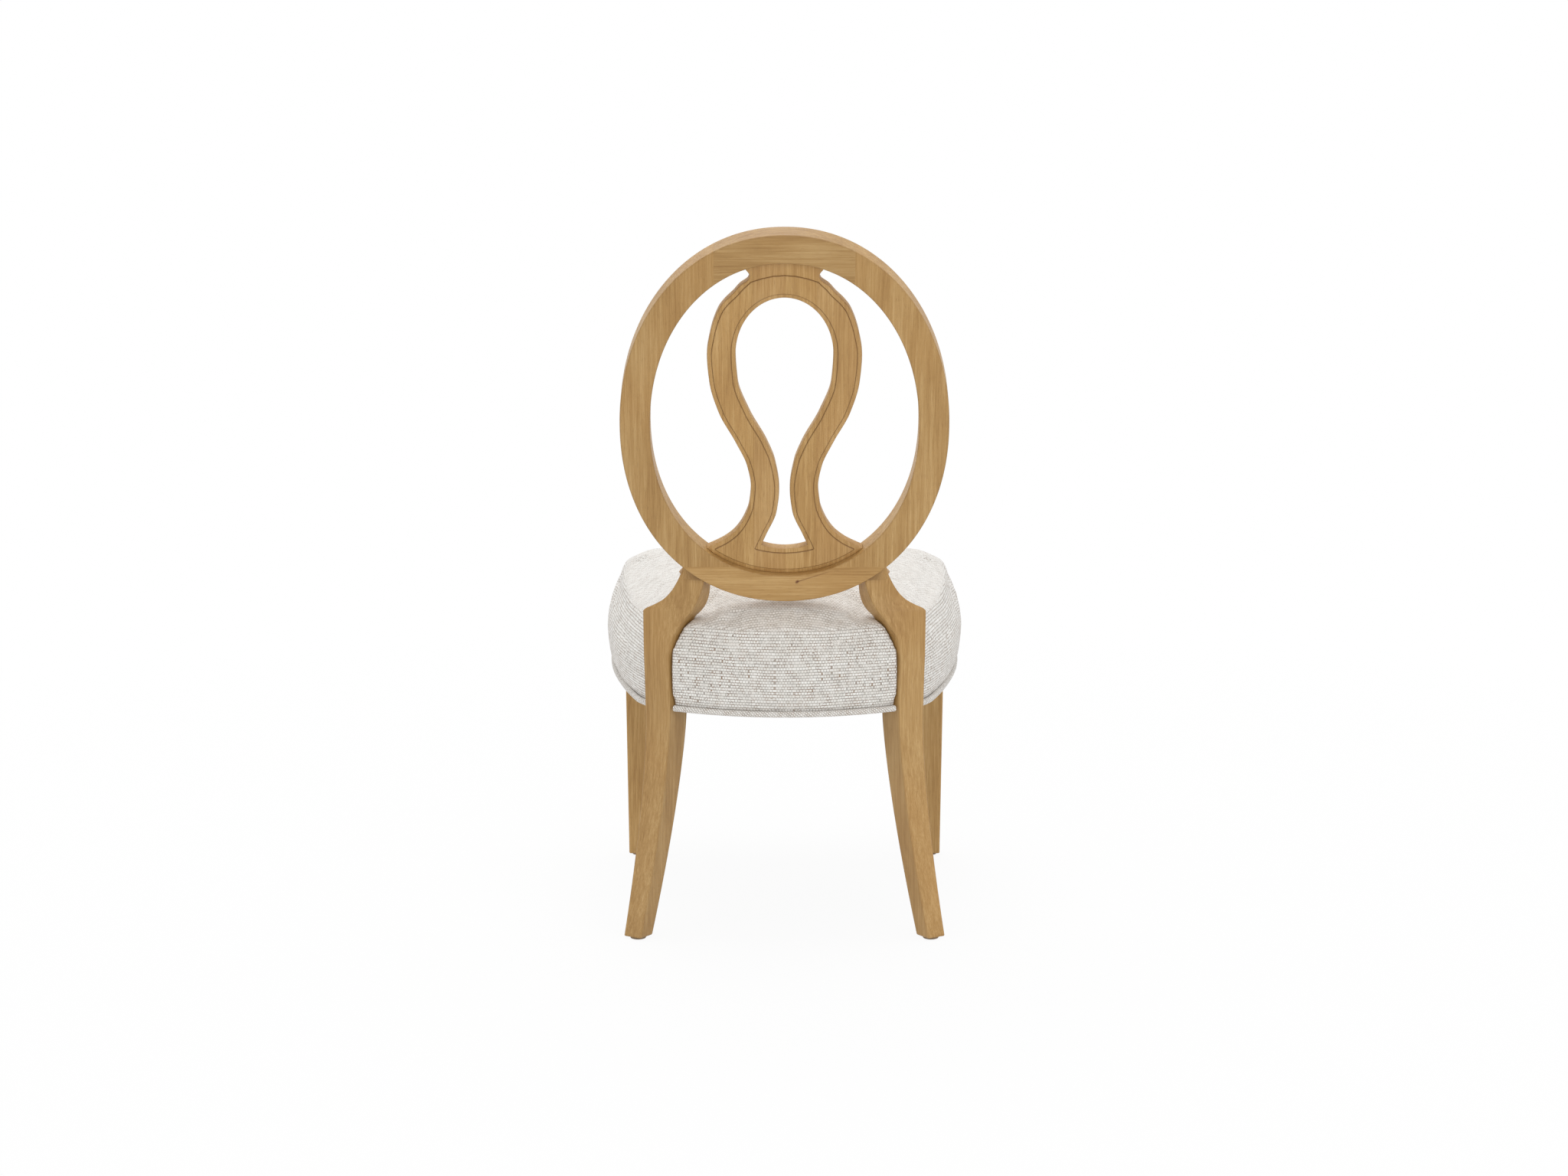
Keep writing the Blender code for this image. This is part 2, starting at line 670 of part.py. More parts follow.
def make_glides(chair, rear_legs, front_legs):
    stem_top = GLIDE_HEIGHT + GLIDE_STEM_LENGTH
    places = {}
    foot = post_corners(GLIDE_HEIGHT)
    centre = sum(foot, Vector((0, 0))) / 4
    places["rear"] = (centre.x, centre.y, rear_legs)
    square = front_leg_square(FRONT_FOOT_SIZE)
    x = sum(p[0] for p in square) / 4
    y = sum(p[1] for p in square) / 4
    places["front"] = (x, y, front_legs)
    disc_top = GLIDE_HEIGHT - GAP
    for end, (x, y, legs) in places.items():
        for side, sign in (("left", 1), ("right", -1)):
            start = (sign * x, y, 0.0)
            name = f"glide_{end}_{side}"
            profile = [
                (0.0, GLIDE_RADIUS - GLIDE_EASE), (GLIDE_EASE, GLIDE_RADIUS),
                (disc_top, GLIDE_RADIUS),
                (disc_top, GLIDE_STEM_RADIUS), (stem_top, GLIDE_STEM_RADIUS),
            ]
            add_object(name, rod_mesh(name, start, (0, 0, 1), profile), chair, "nylon")
            hole = plain_rod(
                name + "_hole", (sign * x, y, -CUT), (0, 0, 1),
                CUT + stem_top + GAP, GLIDE_STEM_RADIUS + GAP)
            boolean(legs[side], add_object(name + "_hole", hole, chair))


# Seat plan

def bowed_edge(start, end, bow, steps):
    """Points from start to end on a shallow parabola that swells to its right."""
    start, end = np.array(start), np.array(end)
    along = end - start
    normal = np.array([along[1], -along[0]]) / np.hypot(*along)
    return [start + along * t + normal * bow * 4 * t * (1 - t)
            for t in np.linspace(0, 1, steps + 1)]


def seat_plan(offset=0.0, steps=PLAN_STEPS):
    """The seat's outline, counter-clockwise from above, moved out by an offset.

    It starts at the middle of the rear edge and runs round by the -X side.
    """
    corners = [
        (REAR_CORNER_X, REAR_CORNER_Y), (-REAR_CORNER_X, REAR_CORNER_Y),
        (-FRONT_CORNER_X, FRONT_CORNER_Y), (FRONT_CORNER_X, FRONT_CORNER_Y),
    ]
    bows = (REAR_BOW, SIDE_BOW, FRONT_BOW, SIDE_BOW)
    eases = (REAR_EASE, REAR_EASE, FRONT_EASE, FRONT_EASE)
    edges = []
    for k in range(4):
        edge = bowed_edge(corners[k], corners[(k + 1) % 4], bows[k], PLAN_FINE_STEPS)
        edges.append(np.array(edge))
    points = []
    for k in range(4):
        edge = edges[k]
        gone = np.concatenate([[0], np.cumsum(np.hypot(*np.diff(edge, axis=0).T))])
        first, last = eases[k], gone[-1] - eases[(k + 1) % 4]
        stops = np.linspace(first, last, steps + 1)
        run = np.stack([np.interp(stops, gone, edge[:, 0]), np.interp(stops, gone, edge[:, 1])], 1)
        points += list(run)
        # The corner is a quadratic curve between the two eased ends
        corner = np.array(corners[(k + 1) % 4])
        after = edges[(k + 1) % 4]
        gone_after = np.concatenate([[0], np.cumsum(np.hypot(*np.diff(after, axis=0).T))])
        ease = eases[(k + 1) % 4]
        begin = run[-1]
        finish = np.array([np.interp(ease, gone_after, after[:, 0]),
                           np.interp(ease, gone_after, after[:, 1])])
        for j in range(1, PLAN_CORNER_STEPS):
            t = j / PLAN_CORNER_STEPS
            points.append((1 - t) ** 2 * begin + 2 * t * (1 - t) * corner + t * t * finish)
    points = np.array(points)
    ahead = np.roll(points, -1, axis=0) - np.roll(points, 1, axis=0)
    ahead /= np.hypot(ahead[:, 0], ahead[:, 1])[:, None]
    normal = np.stack([ahead[:, 1], -ahead[:, 0]], 1)
    return points + normal * offset


def plan_prism(name, offset, low, high):
    """Extrudes the plan at an offset, without the points that fold over at its corners."""
    base, moved = seat_plan(0.0), seat_plan(offset)
    outline = [p for p in moved if np.hypot(*(base - p).T).min() > abs(offset) - FOLD_SLACK]
    return prism_mesh(name, outline, low, high)


def crown(share):
    """Height of the crowned top above its edge, at a share of the way out from the middle."""
    return SEAT_CROWN * (1 - share ** CROWN_POWER)


def seat_rings(inset, low, shares, bulge=SIDE_BULGE, side_steps=3):
    """Rings of the padded seat's skin, moved in by an inset, from its rim to its middle."""
    top = SEAT_EDGE - inset
    edge_round = SEAT_EDGE_ROUND - inset
    # Below the welt's top the side is straight
    start = max(low, SEAT_BOTTOM + WELT_RISE)
    rings = []
    if start > low:
        rings.append([(p[0], p[1], low) for p in seat_plan(-inset)])
    for k in range(side_steps + 1):
        t = k / side_steps
        height = start + (top - edge_round - start) * t
        swell = bulge * math.sin(math.pi * t)
        rings.append([(p[0], p[1], height) for p in seat_plan(swell - inset)])
    for k in range(1, BEND_STEPS + 1):
        turn = math.pi / 2 * k / BEND_STEPS
        out = edge_round * (1 - math.cos(turn))
        height = top - edge_round + edge_round * math.sin(turn)
        rings.append([(p[0], p[1], height) for p in seat_plan(-inset - out)])
    rim = np.array(seat_plan(-inset - edge_round))
    middle = np.array([0.0, (rim[:, 1].max() + rim[:, 1].min()) / 2])
    for share in shares:
        level = top + crown(share)
        rings.append([(*(middle + (p - middle) * share), level) for p in rim])
    return rings


def closed_cap(name, outer, inner=None):
    """A skin over outer rings, closed below by a flat rim to inner rings, or by a flat face."""
    made = bmesh.new()

    def rows_of(rings):
        return [[made.verts.new(p) for p in ring] for ring in rings]

    def skin(rows):
        for low, high in zip(rows, rows[1:]):
            for i in range(len(low)):
                j = (i + 1) % len(low)
                made.faces.new((low[i], low[j], high[j], high[i]))
        last = rows[-1]
        peak = made.verts.new(sum((v.co for v in last), Vector()) / len(last))
        for i in range(len(last)):
            made.faces.new((last[i], last[(i + 1) % len(last)], peak))

    outside = rows_of(outer)
    skin(outside)
    if inner is None:
        made.faces.new(outside[0])
    else:
        inside = rows_of(inner)
        skin(inside)
        for i in range(len(outside[0])):
            j = (i + 1) % len(outside[0])
            made.faces.new((outside[0][i], outside[0][j], inside[0][j], inside[0][i]))
    mesh = finish_mesh(name, made)
    mesh.shade_smooth()
    mesh.set_sharp_from_angle(angle=math.radians(COVER_SHADE))
    return mesh


def make_cushion(chair, notches):
    outer = seat_rings(0.0, SEAT_BOTTOM, TOP_SHARES)
    inner = seat_rings(COVER_THICKNESS, SEAT_BOTTOM, UNDER_SHARES, side_steps=2)
    cover = add_object("seat_cover", closed_cap("seat_cover", outer, inner), chair, "fabric")
    foam_bottom = RAIL_BOTTOM + RAIL_HEIGHT + GAP + DECK_THICKNESS + GAP
    body = seat_rings(COVER_THICKNESS + 2 * GAP, foam_bottom, UNDER_SHARES, 0.0, 2)
    foam = add_object("seat_foam", closed_cap("seat_foam", body), chair, "foam")
    for notch in notches:
        boolean(cover, notch)
        boolean(foam, notch)


def make_deck(chair, notches):
    low = RAIL_BOTTOM + RAIL_HEIGHT + GAP
    mesh = plan_prism("seat_deck", -COVER_THICKNESS - 2 * GAP, low, low + DECK_THICKNESS)
    deck = add_object("seat_deck", mesh, chair, "plywood")
    for notch in notches:
        boolean(deck, notch)
    return deck


def make_dust_cover(chair, notches):
    top = RAIL_BOTTOM - GAP
    inset = COVER_THICKNESS + 2 * WELT_RADIUS
    mesh = plan_prism("dust_cover", -inset, top - DUST_COVER_THICKNESS, top)
    sheet = add_object("dust_cover", mesh, chair, "lining")
    for notch in notches:
        boolean(sheet, notch)
    for sign in (1, -1):
        mesh = front_leg_block("leg_block", LEG_NOTCH_GAP, sign)
        boolean(sheet, add_object("leg_block", mesh, chair))


def cord_mesh(name, path, radius, sides):
    """A round cord along a level path."""
    path = np.array(path)
    ahead = np.gradient(path, axis=0)
    ahead /= np.hypot(ahead[:, 0], ahead[:, 1])[:, None]
    rings = []
    for (x, y, z), (dx, dy, _) in zip(path, ahead):
        ring = []
        for k in range(sides):
            turn = 2 * math.pi * k / sides
            out = radius * math.cos(turn)
            ring.append((x + dy * out, y - dx * out, z + radius * math.sin(turn)))
        rings.append(ring)
    mesh = mesh_from_rings(name, rings)
    mesh.shade_smooth()
    mesh.set_sharp_from_angle(angle=math.radians(WELT_SHADE))
    return mesh


def make_welt(chair):
    """A piped edge round the fabric's rim, in two runs that stop at the rear legs."""
    level = SEAT_BOTTOM + WELT_RISE - GAP - WELT_RADIUS
    corner = post_corners(level)
    inward, backward = leg_frame()
    size = (corner[0] - corner[1]).length
    room = WELT_RADIUS + GAP

    def clear_of_leg(p):
        place = Vector((abs(p[0]), p[1])) - corner[1]
        return not (-size - room < place.dot(inward) < room
                    and -size - room < place.dot(backward) < room)

    def behind(p):
        return p[1] > corner[2].y and abs(p[0]) < corner[1].x + room

    keeps = {
        "seat_welt_rear": lambda p: clear_of_leg(p) and behind(p),
        "seat_welt_front": lambda p: clear_of_leg(p) and not behind(p),
    }
    for name, keep in keeps.items():
        run = [(p[0], p[1], level) for p in plan_run(room, keep)]
        add_object(name, cord_mesh(name, run, WELT_RADIUS, WELT_SIDES), chair, "fabric")


# Seat frame

def plan_run(offset, keep):
    """The stretch of the plan, at an offset, that keep() accepts, with exact ends."""
    points = [Vector(p) for p in seat_plan(offset, RAIL_STEPS)]
    kept = [keep(p) for p in points]
    count = len(points)
    first = next(i for i in range(count) if kept[i] and not kept[i - 1])
    run = []
    i = first
    while kept[i % count]:
        run.append(points[i % count])
        i += 1

    def edge(inside, outside):
        for _ in range(30):
            middle = (inside + outside) / 2
            if keep(middle):
                inside = middle
            else:
                outside = middle
        return inside

    return [edge(run[0], points[first - 1])] + run + [edge(run[-1], points[i % count])]


def ribbon(name, outer, inner, low, high, keep):
    """A curved board between two insets from the plan."""
    outline = plan_run(-outer, keep) + list(reversed(plan_run(-inner, keep)))
    return prism_mesh(name, [tuple(p) for p in outline], low, high)


def front_leg_block(name, grow, sign):
    corner = [(sign * x, y) for x, y in front_leg_square(FRONT_LEG_SIZE + 2 * grow)]
    return prism_mesh(name, corner, SEAT_BOTTOM - CUT, SEAT_EDGE)


def leg_blocks(chair, grow):
    """Cutters round all four legs at the height of the seat."""
    made = leg_notches(chair, grow)
    for sign in (1, -1):
        mesh = front_leg_block("leg_block", grow, sign)
        made.append(add_object("leg_block", mesh, chair))
    return made


def box_mesh(name, low, high):
    outline = [(low[0], low[1]), (high[0], low[1]), (high[0], high[1]), (low[0], high[1])]
    return prism_mesh(name, outline, low[2], high[2])


def make_rails(chair, rear_legs, front_legs):
    """Curved rails with a tenon at each end, let into the legs."""
    low, high = RAIL_BOTTOM, RAIL_BOTTOM + RAIL_HEIGHT
    middle = RAIL_INSET + RAIL_THICKNESS / 2
    thin = TENON_THICKNESS / 2
    post = post_corners(low)
    rear_centre = sum(post, Vector((0, 0))) / 4
    leg_inner = FRONT_LEG_OUTER - FRONT_LEG_SIZE

    def past_rear_leg(p):
        """How far a point lies beyond the rear leg's middle, going round from the back."""
        return ((abs(p[0]) - rear_centre.x) - (p[1] - rear_centre.y)) / math.sqrt(2)

    def back(reach):
        return lambda p: p[1] > 2 * rear_centre.y and past_rear_leg(p) < reach

    def side(sign):
        def limits(rear_reach, front_reach):
            return lambda p: (
                sign * p[0] > 0 and p[1] > FRONT_LEG_REAR - front_reach
                and past_rear_leg(p) > -rear_reach)
        return limits

    def front(reach):
        return lambda p: p[1] < FRONT_LEG_REAR and abs(p[0]) < leg_inner + reach

    left, right = side(1), side(-1)
    tenon = (-TENON_WEB, TENON_LENGTH)
    mortise = (-TENON_WEB + GAP, TENON_LENGTH + GAP)
    plans = {
        "back_rail": (back(0.0), back(tenon[0]), back(mortise[0]),
                      [rear_legs["left"], rear_legs["right"]]),
        "side_rail_left": (left(0.0, -GAP), left(*tenon), left(*mortise),
                           [rear_legs["left"], front_legs["left"]]),
        "side_rail_right": (right(0.0, -GAP), right(*tenon), right(*mortise),
                            [rear_legs["right"], front_legs["right"]]),
        "front_rail": (front(-GAP), front(tenon[1]), front(mortise[1]),
                       [front_legs["left"], front_legs["right"]]),
    }
    clear = leg_notches(chair, GAP)
    rails = {}
    for name, (keep, keep_tenon, keep_mortise, legs) in plans.items():
        mesh = ribbon(name, RAIL_INSET, RAIL_INSET + RAIL_THICKNESS, low, high, keep)
        rail = add_object(name, mesh, chair, "beech")
        for cutter in clear:
            boolean(rail, cutter)
        tenon_low, tenon_high = low + TENON_SHOULDER, high - TENON_SHOULDER
        mesh = ribbon(
            name + "_tenon", middle - thin, middle + thin, tenon_low, tenon_high, keep_tenon)
        boolean(rail, add_object(name + "_tenon", mesh, chair), "UNION")
        mesh = ribbon(
            name + "_mortise", middle - thin - GAP, middle + thin + GAP,
            tenon_low - GAP, tenon_high + GAP, keep_mortise)
        cutter = add_object(name + "_mortise", mesh, chair)
        for leg in legs:
            boolean(leg, cutter)
        rails[name] = rail
    return rails


def make_edge_padding(chair):
    """Wadding between the rails and the fabric, in four runs parted by the legs."""
    low, high = RAIL_BOTTOM, RAIL_BOTTOM + RAIL_HEIGHT
    face = COVER_THICKNESS + 2 * GAP
    outside = [tuple(p) for p in seat_plan(-face)]
    inside = [tuple(p) for p in seat_plan(-RAIL_INSET + GAP, RAIL_STEPS)]
    post = post_corners(low)
    rear_x, rear_y = post[1].x, post[3].y
    front_x = FRONT_LEG_OUTER - FRONT_LEG_SIZE / 2
    front_y = FRONT_LEG_REAR - FRONT_LEG_SIZE / 2
    blocks = leg_blocks(chair, LEG_NOTCH_GAP)
    core = add_object(
        "padding_core", prism_mesh("padding_core", inside, low - CUT, high + CUT), chair)
    parts = {
        "rear": ((-rear_x, rear_y), (rear_x, FAR)),
        "left": ((0.0, front_y), (FAR, rear_y)),
        "right": ((-FAR, front_y), (0.0, rear_y)),
        "front": ((-front_x, -FAR), (front_x, front_y)),
    }
    for side, (near, off) in parts.items():
        name = "edge_padding_" + side
        band = add_object(name, prism_mesh(name, outside, low, high), chair, "foam")
        part = box_mesh("padding_part", (*near, low - CUT), (*off, high + CUT))
        boolean(band, core)
        boolean(band, add_object("padding_part", part, chair), "INTERSECT")
        for block in blocks:
            boolean(band, block)


def make_braces(chair, rails, rear_legs, front_legs):
    """A block across each corner of the frame, bolted to the leg and screwed to the rails."""
    high = RAIL_BOTTOM + RAIL_HEIGHT - BRACE_DROP
    low = high - BRACE_HEIGHT
    level = (low + high) / 2
    reach = RAIL_INSET + RAIL_THICKNESS + GAP
    room = add_object(
        "brace_room", plan_prism("brace_room", -reach, low - CUT, high + CUT), chair)
    clear = leg_blocks(chair, GAP)
    post = post_corners(level)
    rear_centre = sum(post, Vector((0, 0))) / 4
    half_leg = FRONT_LEG_SIZE / 2
    front_centre = Vector((FRONT_LEG_OUTER - half_leg, FRONT_LEG_REAR - half_leg))
    corners = {
        "rear": (rear_centre, -leg_frame()[1], rear_legs, "back_rail", post),
        "front": (front_centre, Vector((-1, 1)), front_legs, "front_rail",
                  [Vector(p) for p in front_leg_square(FRONT_LEG_SIZE)]),
    }
    for end, (centre, into, legs, cross_rail, square) in corners.items():
        into = into.normalized()
        along = Vector((-into.y, into.x))
        face = max((p - centre).dot(into) for p in square) + BRACE_CLEARANCE
        middle = centre + into * (face + BRACE_WIDTH / 2)
        for side, sign in (("left", 1), ("right", -1)):
            outline = []
            for a, b in ((-1, -1), (1, -1), (1, 1), (-1, 1)):
                p = middle + along * a * BRACE_REACH + into * b * BRACE_WIDTH / 2
                outline.append((sign * p.x, p.y))
            name = f"corner_block_{end}_{side}"
            brace = add_object(name, prism_mesh(name, outline, low, high), chair, "beech")
            boolean(brace, room, "INTERSECT")
            for cutter in clear:
                boolean(brace, cutter)
            head = middle + into * BRACE_WIDTH / 2
            fixings = [(f"leg_bolt_{end}_{side}", 0.0, BOLT_RADIUS, BOLT_HEAD_RADIUS,
                        BOLT_HEAD_HEIGHT, BOLT_LENGTH)]
            for k, spread in enumerate((-SCREW_SPREAD, SCREW_SPREAD)):
                fixings.append((f"block_screw_{end}_{side}_{k + 1}", spread, SCREW_RADIUS,
                                SCREW_HEAD_RADIUS, SCREW_HEAD_HEIGHT, SCREW_LENGTH))
            hosts = [brace, legs[side], rails[cross_rail], rails["side_rail_" + side]]
            for fixing, spread, radius, head_radius, head_height, length in fixings:
                at = head + along * spread + into * (head_height + GAP)
                start = (sign * at.x, at.y, level)
                way = (-sign * into.x, -into.y, 0)
                profile = [
                    (0, head_radius * HEAD_TOP), (head_height * HEAD_DOME, head_radius),
                    (head_height, head_radius), (head_height, radius),
                    (head_height + length, radius),
                ]
                mesh = rod_mesh(fixing, start, way, profile, 12)
                add_object(fixing, mesh, chair, "steel")
                hole = plain_rod(
                    fixing + "_hole", Vector(start) + Vector(way) * head_height, way,
                    length + GAP, radius + GAP)
                cutter = add_object(fixing + "_hole", hole, chair)
                for host in hosts:
                    boolean(host, cutter)


def build():
    clear_scene()
    skin = seat_rings(0.0, SEAT_BOTTOM, TOP_SHARES)
    front_face = min(p[1] for ring in skin for p in ring)
    rear_top = RING_CENTRE_Y + (RING_HALF_HEIGHT - RING_EDGE) * math.sin(RAKE)
    chair = add_empty("chair", location=(0, -(front_face + rear_top) / 2, 0))
    plane = add_empty("back_plane", chair, (0, RING_CENTRE_Y, RING_CENTRE_Z), -RAKE)
    ring = make_ring(plane)
    splat = make_splat(plane)
    rear_legs = make_rear_legs(chair, plane)
    front_legs = make_front_legs(chair)
    make_back_dowels(plane, ring, splat, rear_legs)
    make_glides(chair, rear_legs, front_legs)
    notches = leg_notches(chair, LEG_NOTCH_GAP)
    make_cushion(chair, notches)
    make_deck(chair, notches)
    make_dust_cover(chair, notches)
    make_welt(chair)
    rails = make_rails(chair, rear_legs, front_legs)
    make_edge_padding(chair)
    make_braces(chair, rails, rear_legs, front_legs)


build()
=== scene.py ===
import math

import bmesh
import bpy
import numpy as np
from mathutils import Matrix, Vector


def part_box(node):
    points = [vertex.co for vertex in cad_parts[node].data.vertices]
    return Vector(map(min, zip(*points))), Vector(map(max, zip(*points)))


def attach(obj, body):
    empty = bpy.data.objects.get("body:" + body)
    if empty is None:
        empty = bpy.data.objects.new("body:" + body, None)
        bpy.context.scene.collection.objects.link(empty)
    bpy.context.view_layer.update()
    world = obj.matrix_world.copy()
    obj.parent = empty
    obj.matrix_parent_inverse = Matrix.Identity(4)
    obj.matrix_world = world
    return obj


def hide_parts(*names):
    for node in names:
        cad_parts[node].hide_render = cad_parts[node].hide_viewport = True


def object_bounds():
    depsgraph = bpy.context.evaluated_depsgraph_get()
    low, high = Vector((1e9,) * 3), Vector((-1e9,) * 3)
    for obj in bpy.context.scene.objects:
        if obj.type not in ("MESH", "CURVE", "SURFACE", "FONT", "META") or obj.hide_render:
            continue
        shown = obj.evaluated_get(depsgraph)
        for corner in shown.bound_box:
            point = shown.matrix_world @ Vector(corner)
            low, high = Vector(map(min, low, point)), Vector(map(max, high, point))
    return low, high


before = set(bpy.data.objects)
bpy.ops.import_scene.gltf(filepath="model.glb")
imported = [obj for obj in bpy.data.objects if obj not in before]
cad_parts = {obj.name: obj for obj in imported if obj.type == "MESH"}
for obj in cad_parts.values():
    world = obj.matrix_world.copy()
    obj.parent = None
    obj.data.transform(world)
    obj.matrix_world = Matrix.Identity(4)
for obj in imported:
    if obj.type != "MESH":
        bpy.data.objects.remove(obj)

bl_info = {
    "name": "Oval Back Side Chair",
    "version": (1, 0, 0),
    "blender": (4, 5, 0),
    "location": "3D View > Sidebar > Chair",
    "description": "Dresses an oval back side chair in oak and woven cloth",
    "category": "Object",
}

CAD_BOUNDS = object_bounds()
BODY = "root"

# Sizes shared with the solid model, in metres. Y = 0 is at the rear feet's near corners.
RAKE = math.radians(21.0)
RING_HALF_WIDTH = 0.2224
RING_HALF_HEIGHT = 0.2775
RING_ROUNDNESS = 2.1
RING_EGG = 0.025
RING_BAND = 0.041
RING_THICKNESS = 0.030
RING_EDGE = 0.0022
RING_LOW_Y, RING_LOW_Z = -0.05445, 0.47193
RING_CENTRE_Y = RING_LOW_Y + RING_HALF_HEIGHT * math.sin(RAKE)
RING_CENTRE_Z = RING_LOW_Z + RING_HALF_HEIGHT * math.cos(RAKE)
TOP_SEAM_X = 0.093
LOWER_SEAM_DROP = 0.222
SPLAT_THICKNESS = 0.014
SPLAT_RECESS = 0.008
LEG_TURN = math.radians(34.0)
LEG_CORNER_X = 0.160
LEG_CORNER_Y = -0.049
REAR_LEG_SIZE = 0.0425
REAR_FOOT_SIZE = 0.0287
FLARE = 0.0645
FLARE_HEIGHT = 0.305
FLARE_CURVE = 1.5
LEAN = 0.008
LEAN_HEIGHT = 0.457
POST_TOP = 0.395
FRONT_LEG_SIZE = 0.038
FRONT_FOOT_SIZE = 0.030
FRONT_LEG_OUTER = 0.2430
FRONT_LEG_REAR = -0.4970
GLIDE_HEIGHT = 0.004
GLIDE_RADIUS = 0.011
REAR_CORNER = (0.190, -0.079)
FRONT_CORNER = (0.2545, -0.552)
REAR_BOW, SIDE_BOW, FRONT_BOW = 0.069, 0.0205, 0.010
REAR_EASE, FRONT_EASE = 0.045, 0.031
SEAT_BOTTOM = 0.320
SEAT_EDGE = 0.449
SEAT_CROWN = 0.038
CROWN_POWER = 3.0
SIDE_BULGE = 0.0135
FRONT_LIFT = 0.009
CORNER_LIFT = 0.009
FOOT_FILL = 0.0032
WELT_RADIUS = 0.0043
WELT_RISE = 0.0065
GAP = 0.0003
DUST_COVER_BOTTOM = 0.3220

# The footprint's middle, found from the ring's top, which reaches furthest back
MIDDLE_Y = (RING_CENTRE_Y + (RING_HALF_HEIGHT - RING_EDGE) * math.sin(RAKE)
            - CAD_BOUNDS[1].y)


def length_property(name, description, default, low, high):
    """A length with its limits."""
    return bpy.props.FloatProperty(name=name, description=description, default=default,
                                   min=low, max=high, unit="LENGTH")


class ChairSizes(bpy.types.PropertyGroup):
    """Sizes of the finish, which leave the chair's own sizes alone"""
    arris: length_property(
        "Leg arris", "Radius of the legs' eased edges", 0.0022, 0.0005, 0.006)
    step_depth: length_property(
        "Splat step", "Depth of the sunk border round the splat", 0.0013, 0.0, 0.004)
    step_width: length_property(
        "Splat border", "Width of the sunk border round the splat", 0.0056, 0.002, 0.012)
    yarn_pitch: length_property(
        "Yarn pitch", "Distance between the cloth's upright yarns", 0.0044, 0.0005, 0.01)
    row_pitch: length_property(
        "Row pitch", "Distance between the cloth's cross yarns", 0.0039, 0.0005, 0.01)
    voxel: length_property(
        "Cushion mesh", "Mesh size of the cushion before it is filled", 0.005, 0.003, 0.02)
    puff: length_property(
        "Cushion swell", "How far the filling may push the cover out", 0.006, 0.0, 0.02)
    staple_pitch: length_property(
        "Staple pitch", "Distance between the staples of the dust cover", 0.034, 0.01, 0.1)


def colour_property(name, description, default):
    """A colour in linear values."""
    return bpy.props.FloatVectorProperty(
        name=name, description=description, default=default, size=3,
        subtype="COLOR", min=0.0, max=1.0)


def srgb(r, g, b):
    """Linear colour of an 8 bit sRGB one."""
    def linear(c):
        c /= 255
        return c / 12.92 if c <= 0.04045 else ((c + 0.055) / 1.055) ** 2.4
    return linear(r), linear(g), linear(b)


class ChairColours(bpy.types.PropertyGroup):
    """Colours of the chair's finishes"""
    oak: colour_property("Oak", "Main colour of the lacquered oak", srgb(183, 144, 88))
    oak_dark: colour_property("Oak, dark grain", "Darker rings of the oak", srgb(148, 107, 56))
    oak_light: colour_property("Oak, light grain", "Lighter rings of the oak", srgb(206, 170, 115))
    # This colour also paints shadow where the necks meet the ring and along the feet's lowest edge.
    glaze: colour_property("Glaze", "Dark glaze left in the corners", srgb(98, 66, 32))
    cloth: colour_property("Cloth", "Cross yarns of the cloth", srgb(232, 229, 224))
    cloth_shade: colour_property("Cloth ground", "Upright yarns of the cloth", srgb(172, 166, 157))
    fleck: colour_property("Fleck", "Brown flecks in the cloth", srgb(138, 112, 88))


def place(points):
    """Moves points from the rear feet's frame to the chair's own."""
    points = np.array(points, float)
    points[..., 1] -= MIDDLE_Y
    return points


def lean(points):
    """Moves (x, depth, height) points of the back's own plane to the rear feet's frame."""
    points = np.array(points, float)
    x, d, z = points[..., 0], points[..., 1], points[..., 2]
    c, s = math.cos(RAKE), math.sin(RAKE)
    return np.stack([x, RING_CENTRE_Y + c * d + s * z, RING_CENTRE_Z - s * d + c * z], -1)


# Shader building

class Value:
    """A number socket that takes part in Python sums."""

    def __init__(self, paint, socket):
        self.paint, self.socket = paint, socket

    def math(self, operation, other=None, swap=False, clamp=False):
        pair = [self] if other is None else [self, other]
        if swap:
            pair.reverse()
        node = self.paint.node("ShaderNodeMath", {"operation": operation, "use_clamp": clamp},
                               dict(enumerate(pair)))
        return Value(self.paint, node.outputs[0])

    def __add__(self, other):
        return self.math("ADD", other)

    def __sub__(self, other):
        return self.math("SUBTRACT", other)

    def __rsub__(self, other):
        return self.math("SUBTRACT", other, swap=True)

    def __mul__(self, other):
        return self.math("MULTIPLY", other)

    def __truediv__(self, other):
        return self.math("DIVIDE", other)

    def __pow__(self, other):
        return self.math("POWER", other)

    __radd__, __rmul__ = __add__, __mul__

    def floor(self):
        return self.math("FLOOR")

    def fract(self):
        return self.math("FRACT")

    def absolute(self):
        return self.math("ABSOLUTE")

    def above(self, low, high):
        """0 below low, 1 above high, a straight ramp between."""
        return ((self - low) / (high - low)).math("ADD", 0.0, clamp=True)


class Graph:
    """A node tree under construction."""

    def __init__(self, tree):
        self.tree = tree

    def node(self, kind, settings=None, inputs=None):
        made = self.tree.nodes.new(kind)
        for key, value in (settings or {}).items():
            if key == "stops":
                ramp = made.color_ramp.elements
                while len(ramp) < len(value):
                    ramp.new(0.5)
                for element, (position, colour) in zip(ramp, value):
                    element.position, element.color = position, (*colour, 1.0)
            else:
                setattr(made, key, value)
        for key, value in (inputs or {}).items():
            self.feed(made.inputs[key], value)
        return made

    def feed(self, socket, value):
        """Links a socket or a Value to the input, or sets it to a plain value."""
        if isinstance(value, Value):
            value = value.socket
        if isinstance(value, bpy.types.NodeSocket):
            self.tree.links.new(value, socket)
        elif value is not None:
            socket.default_value = value


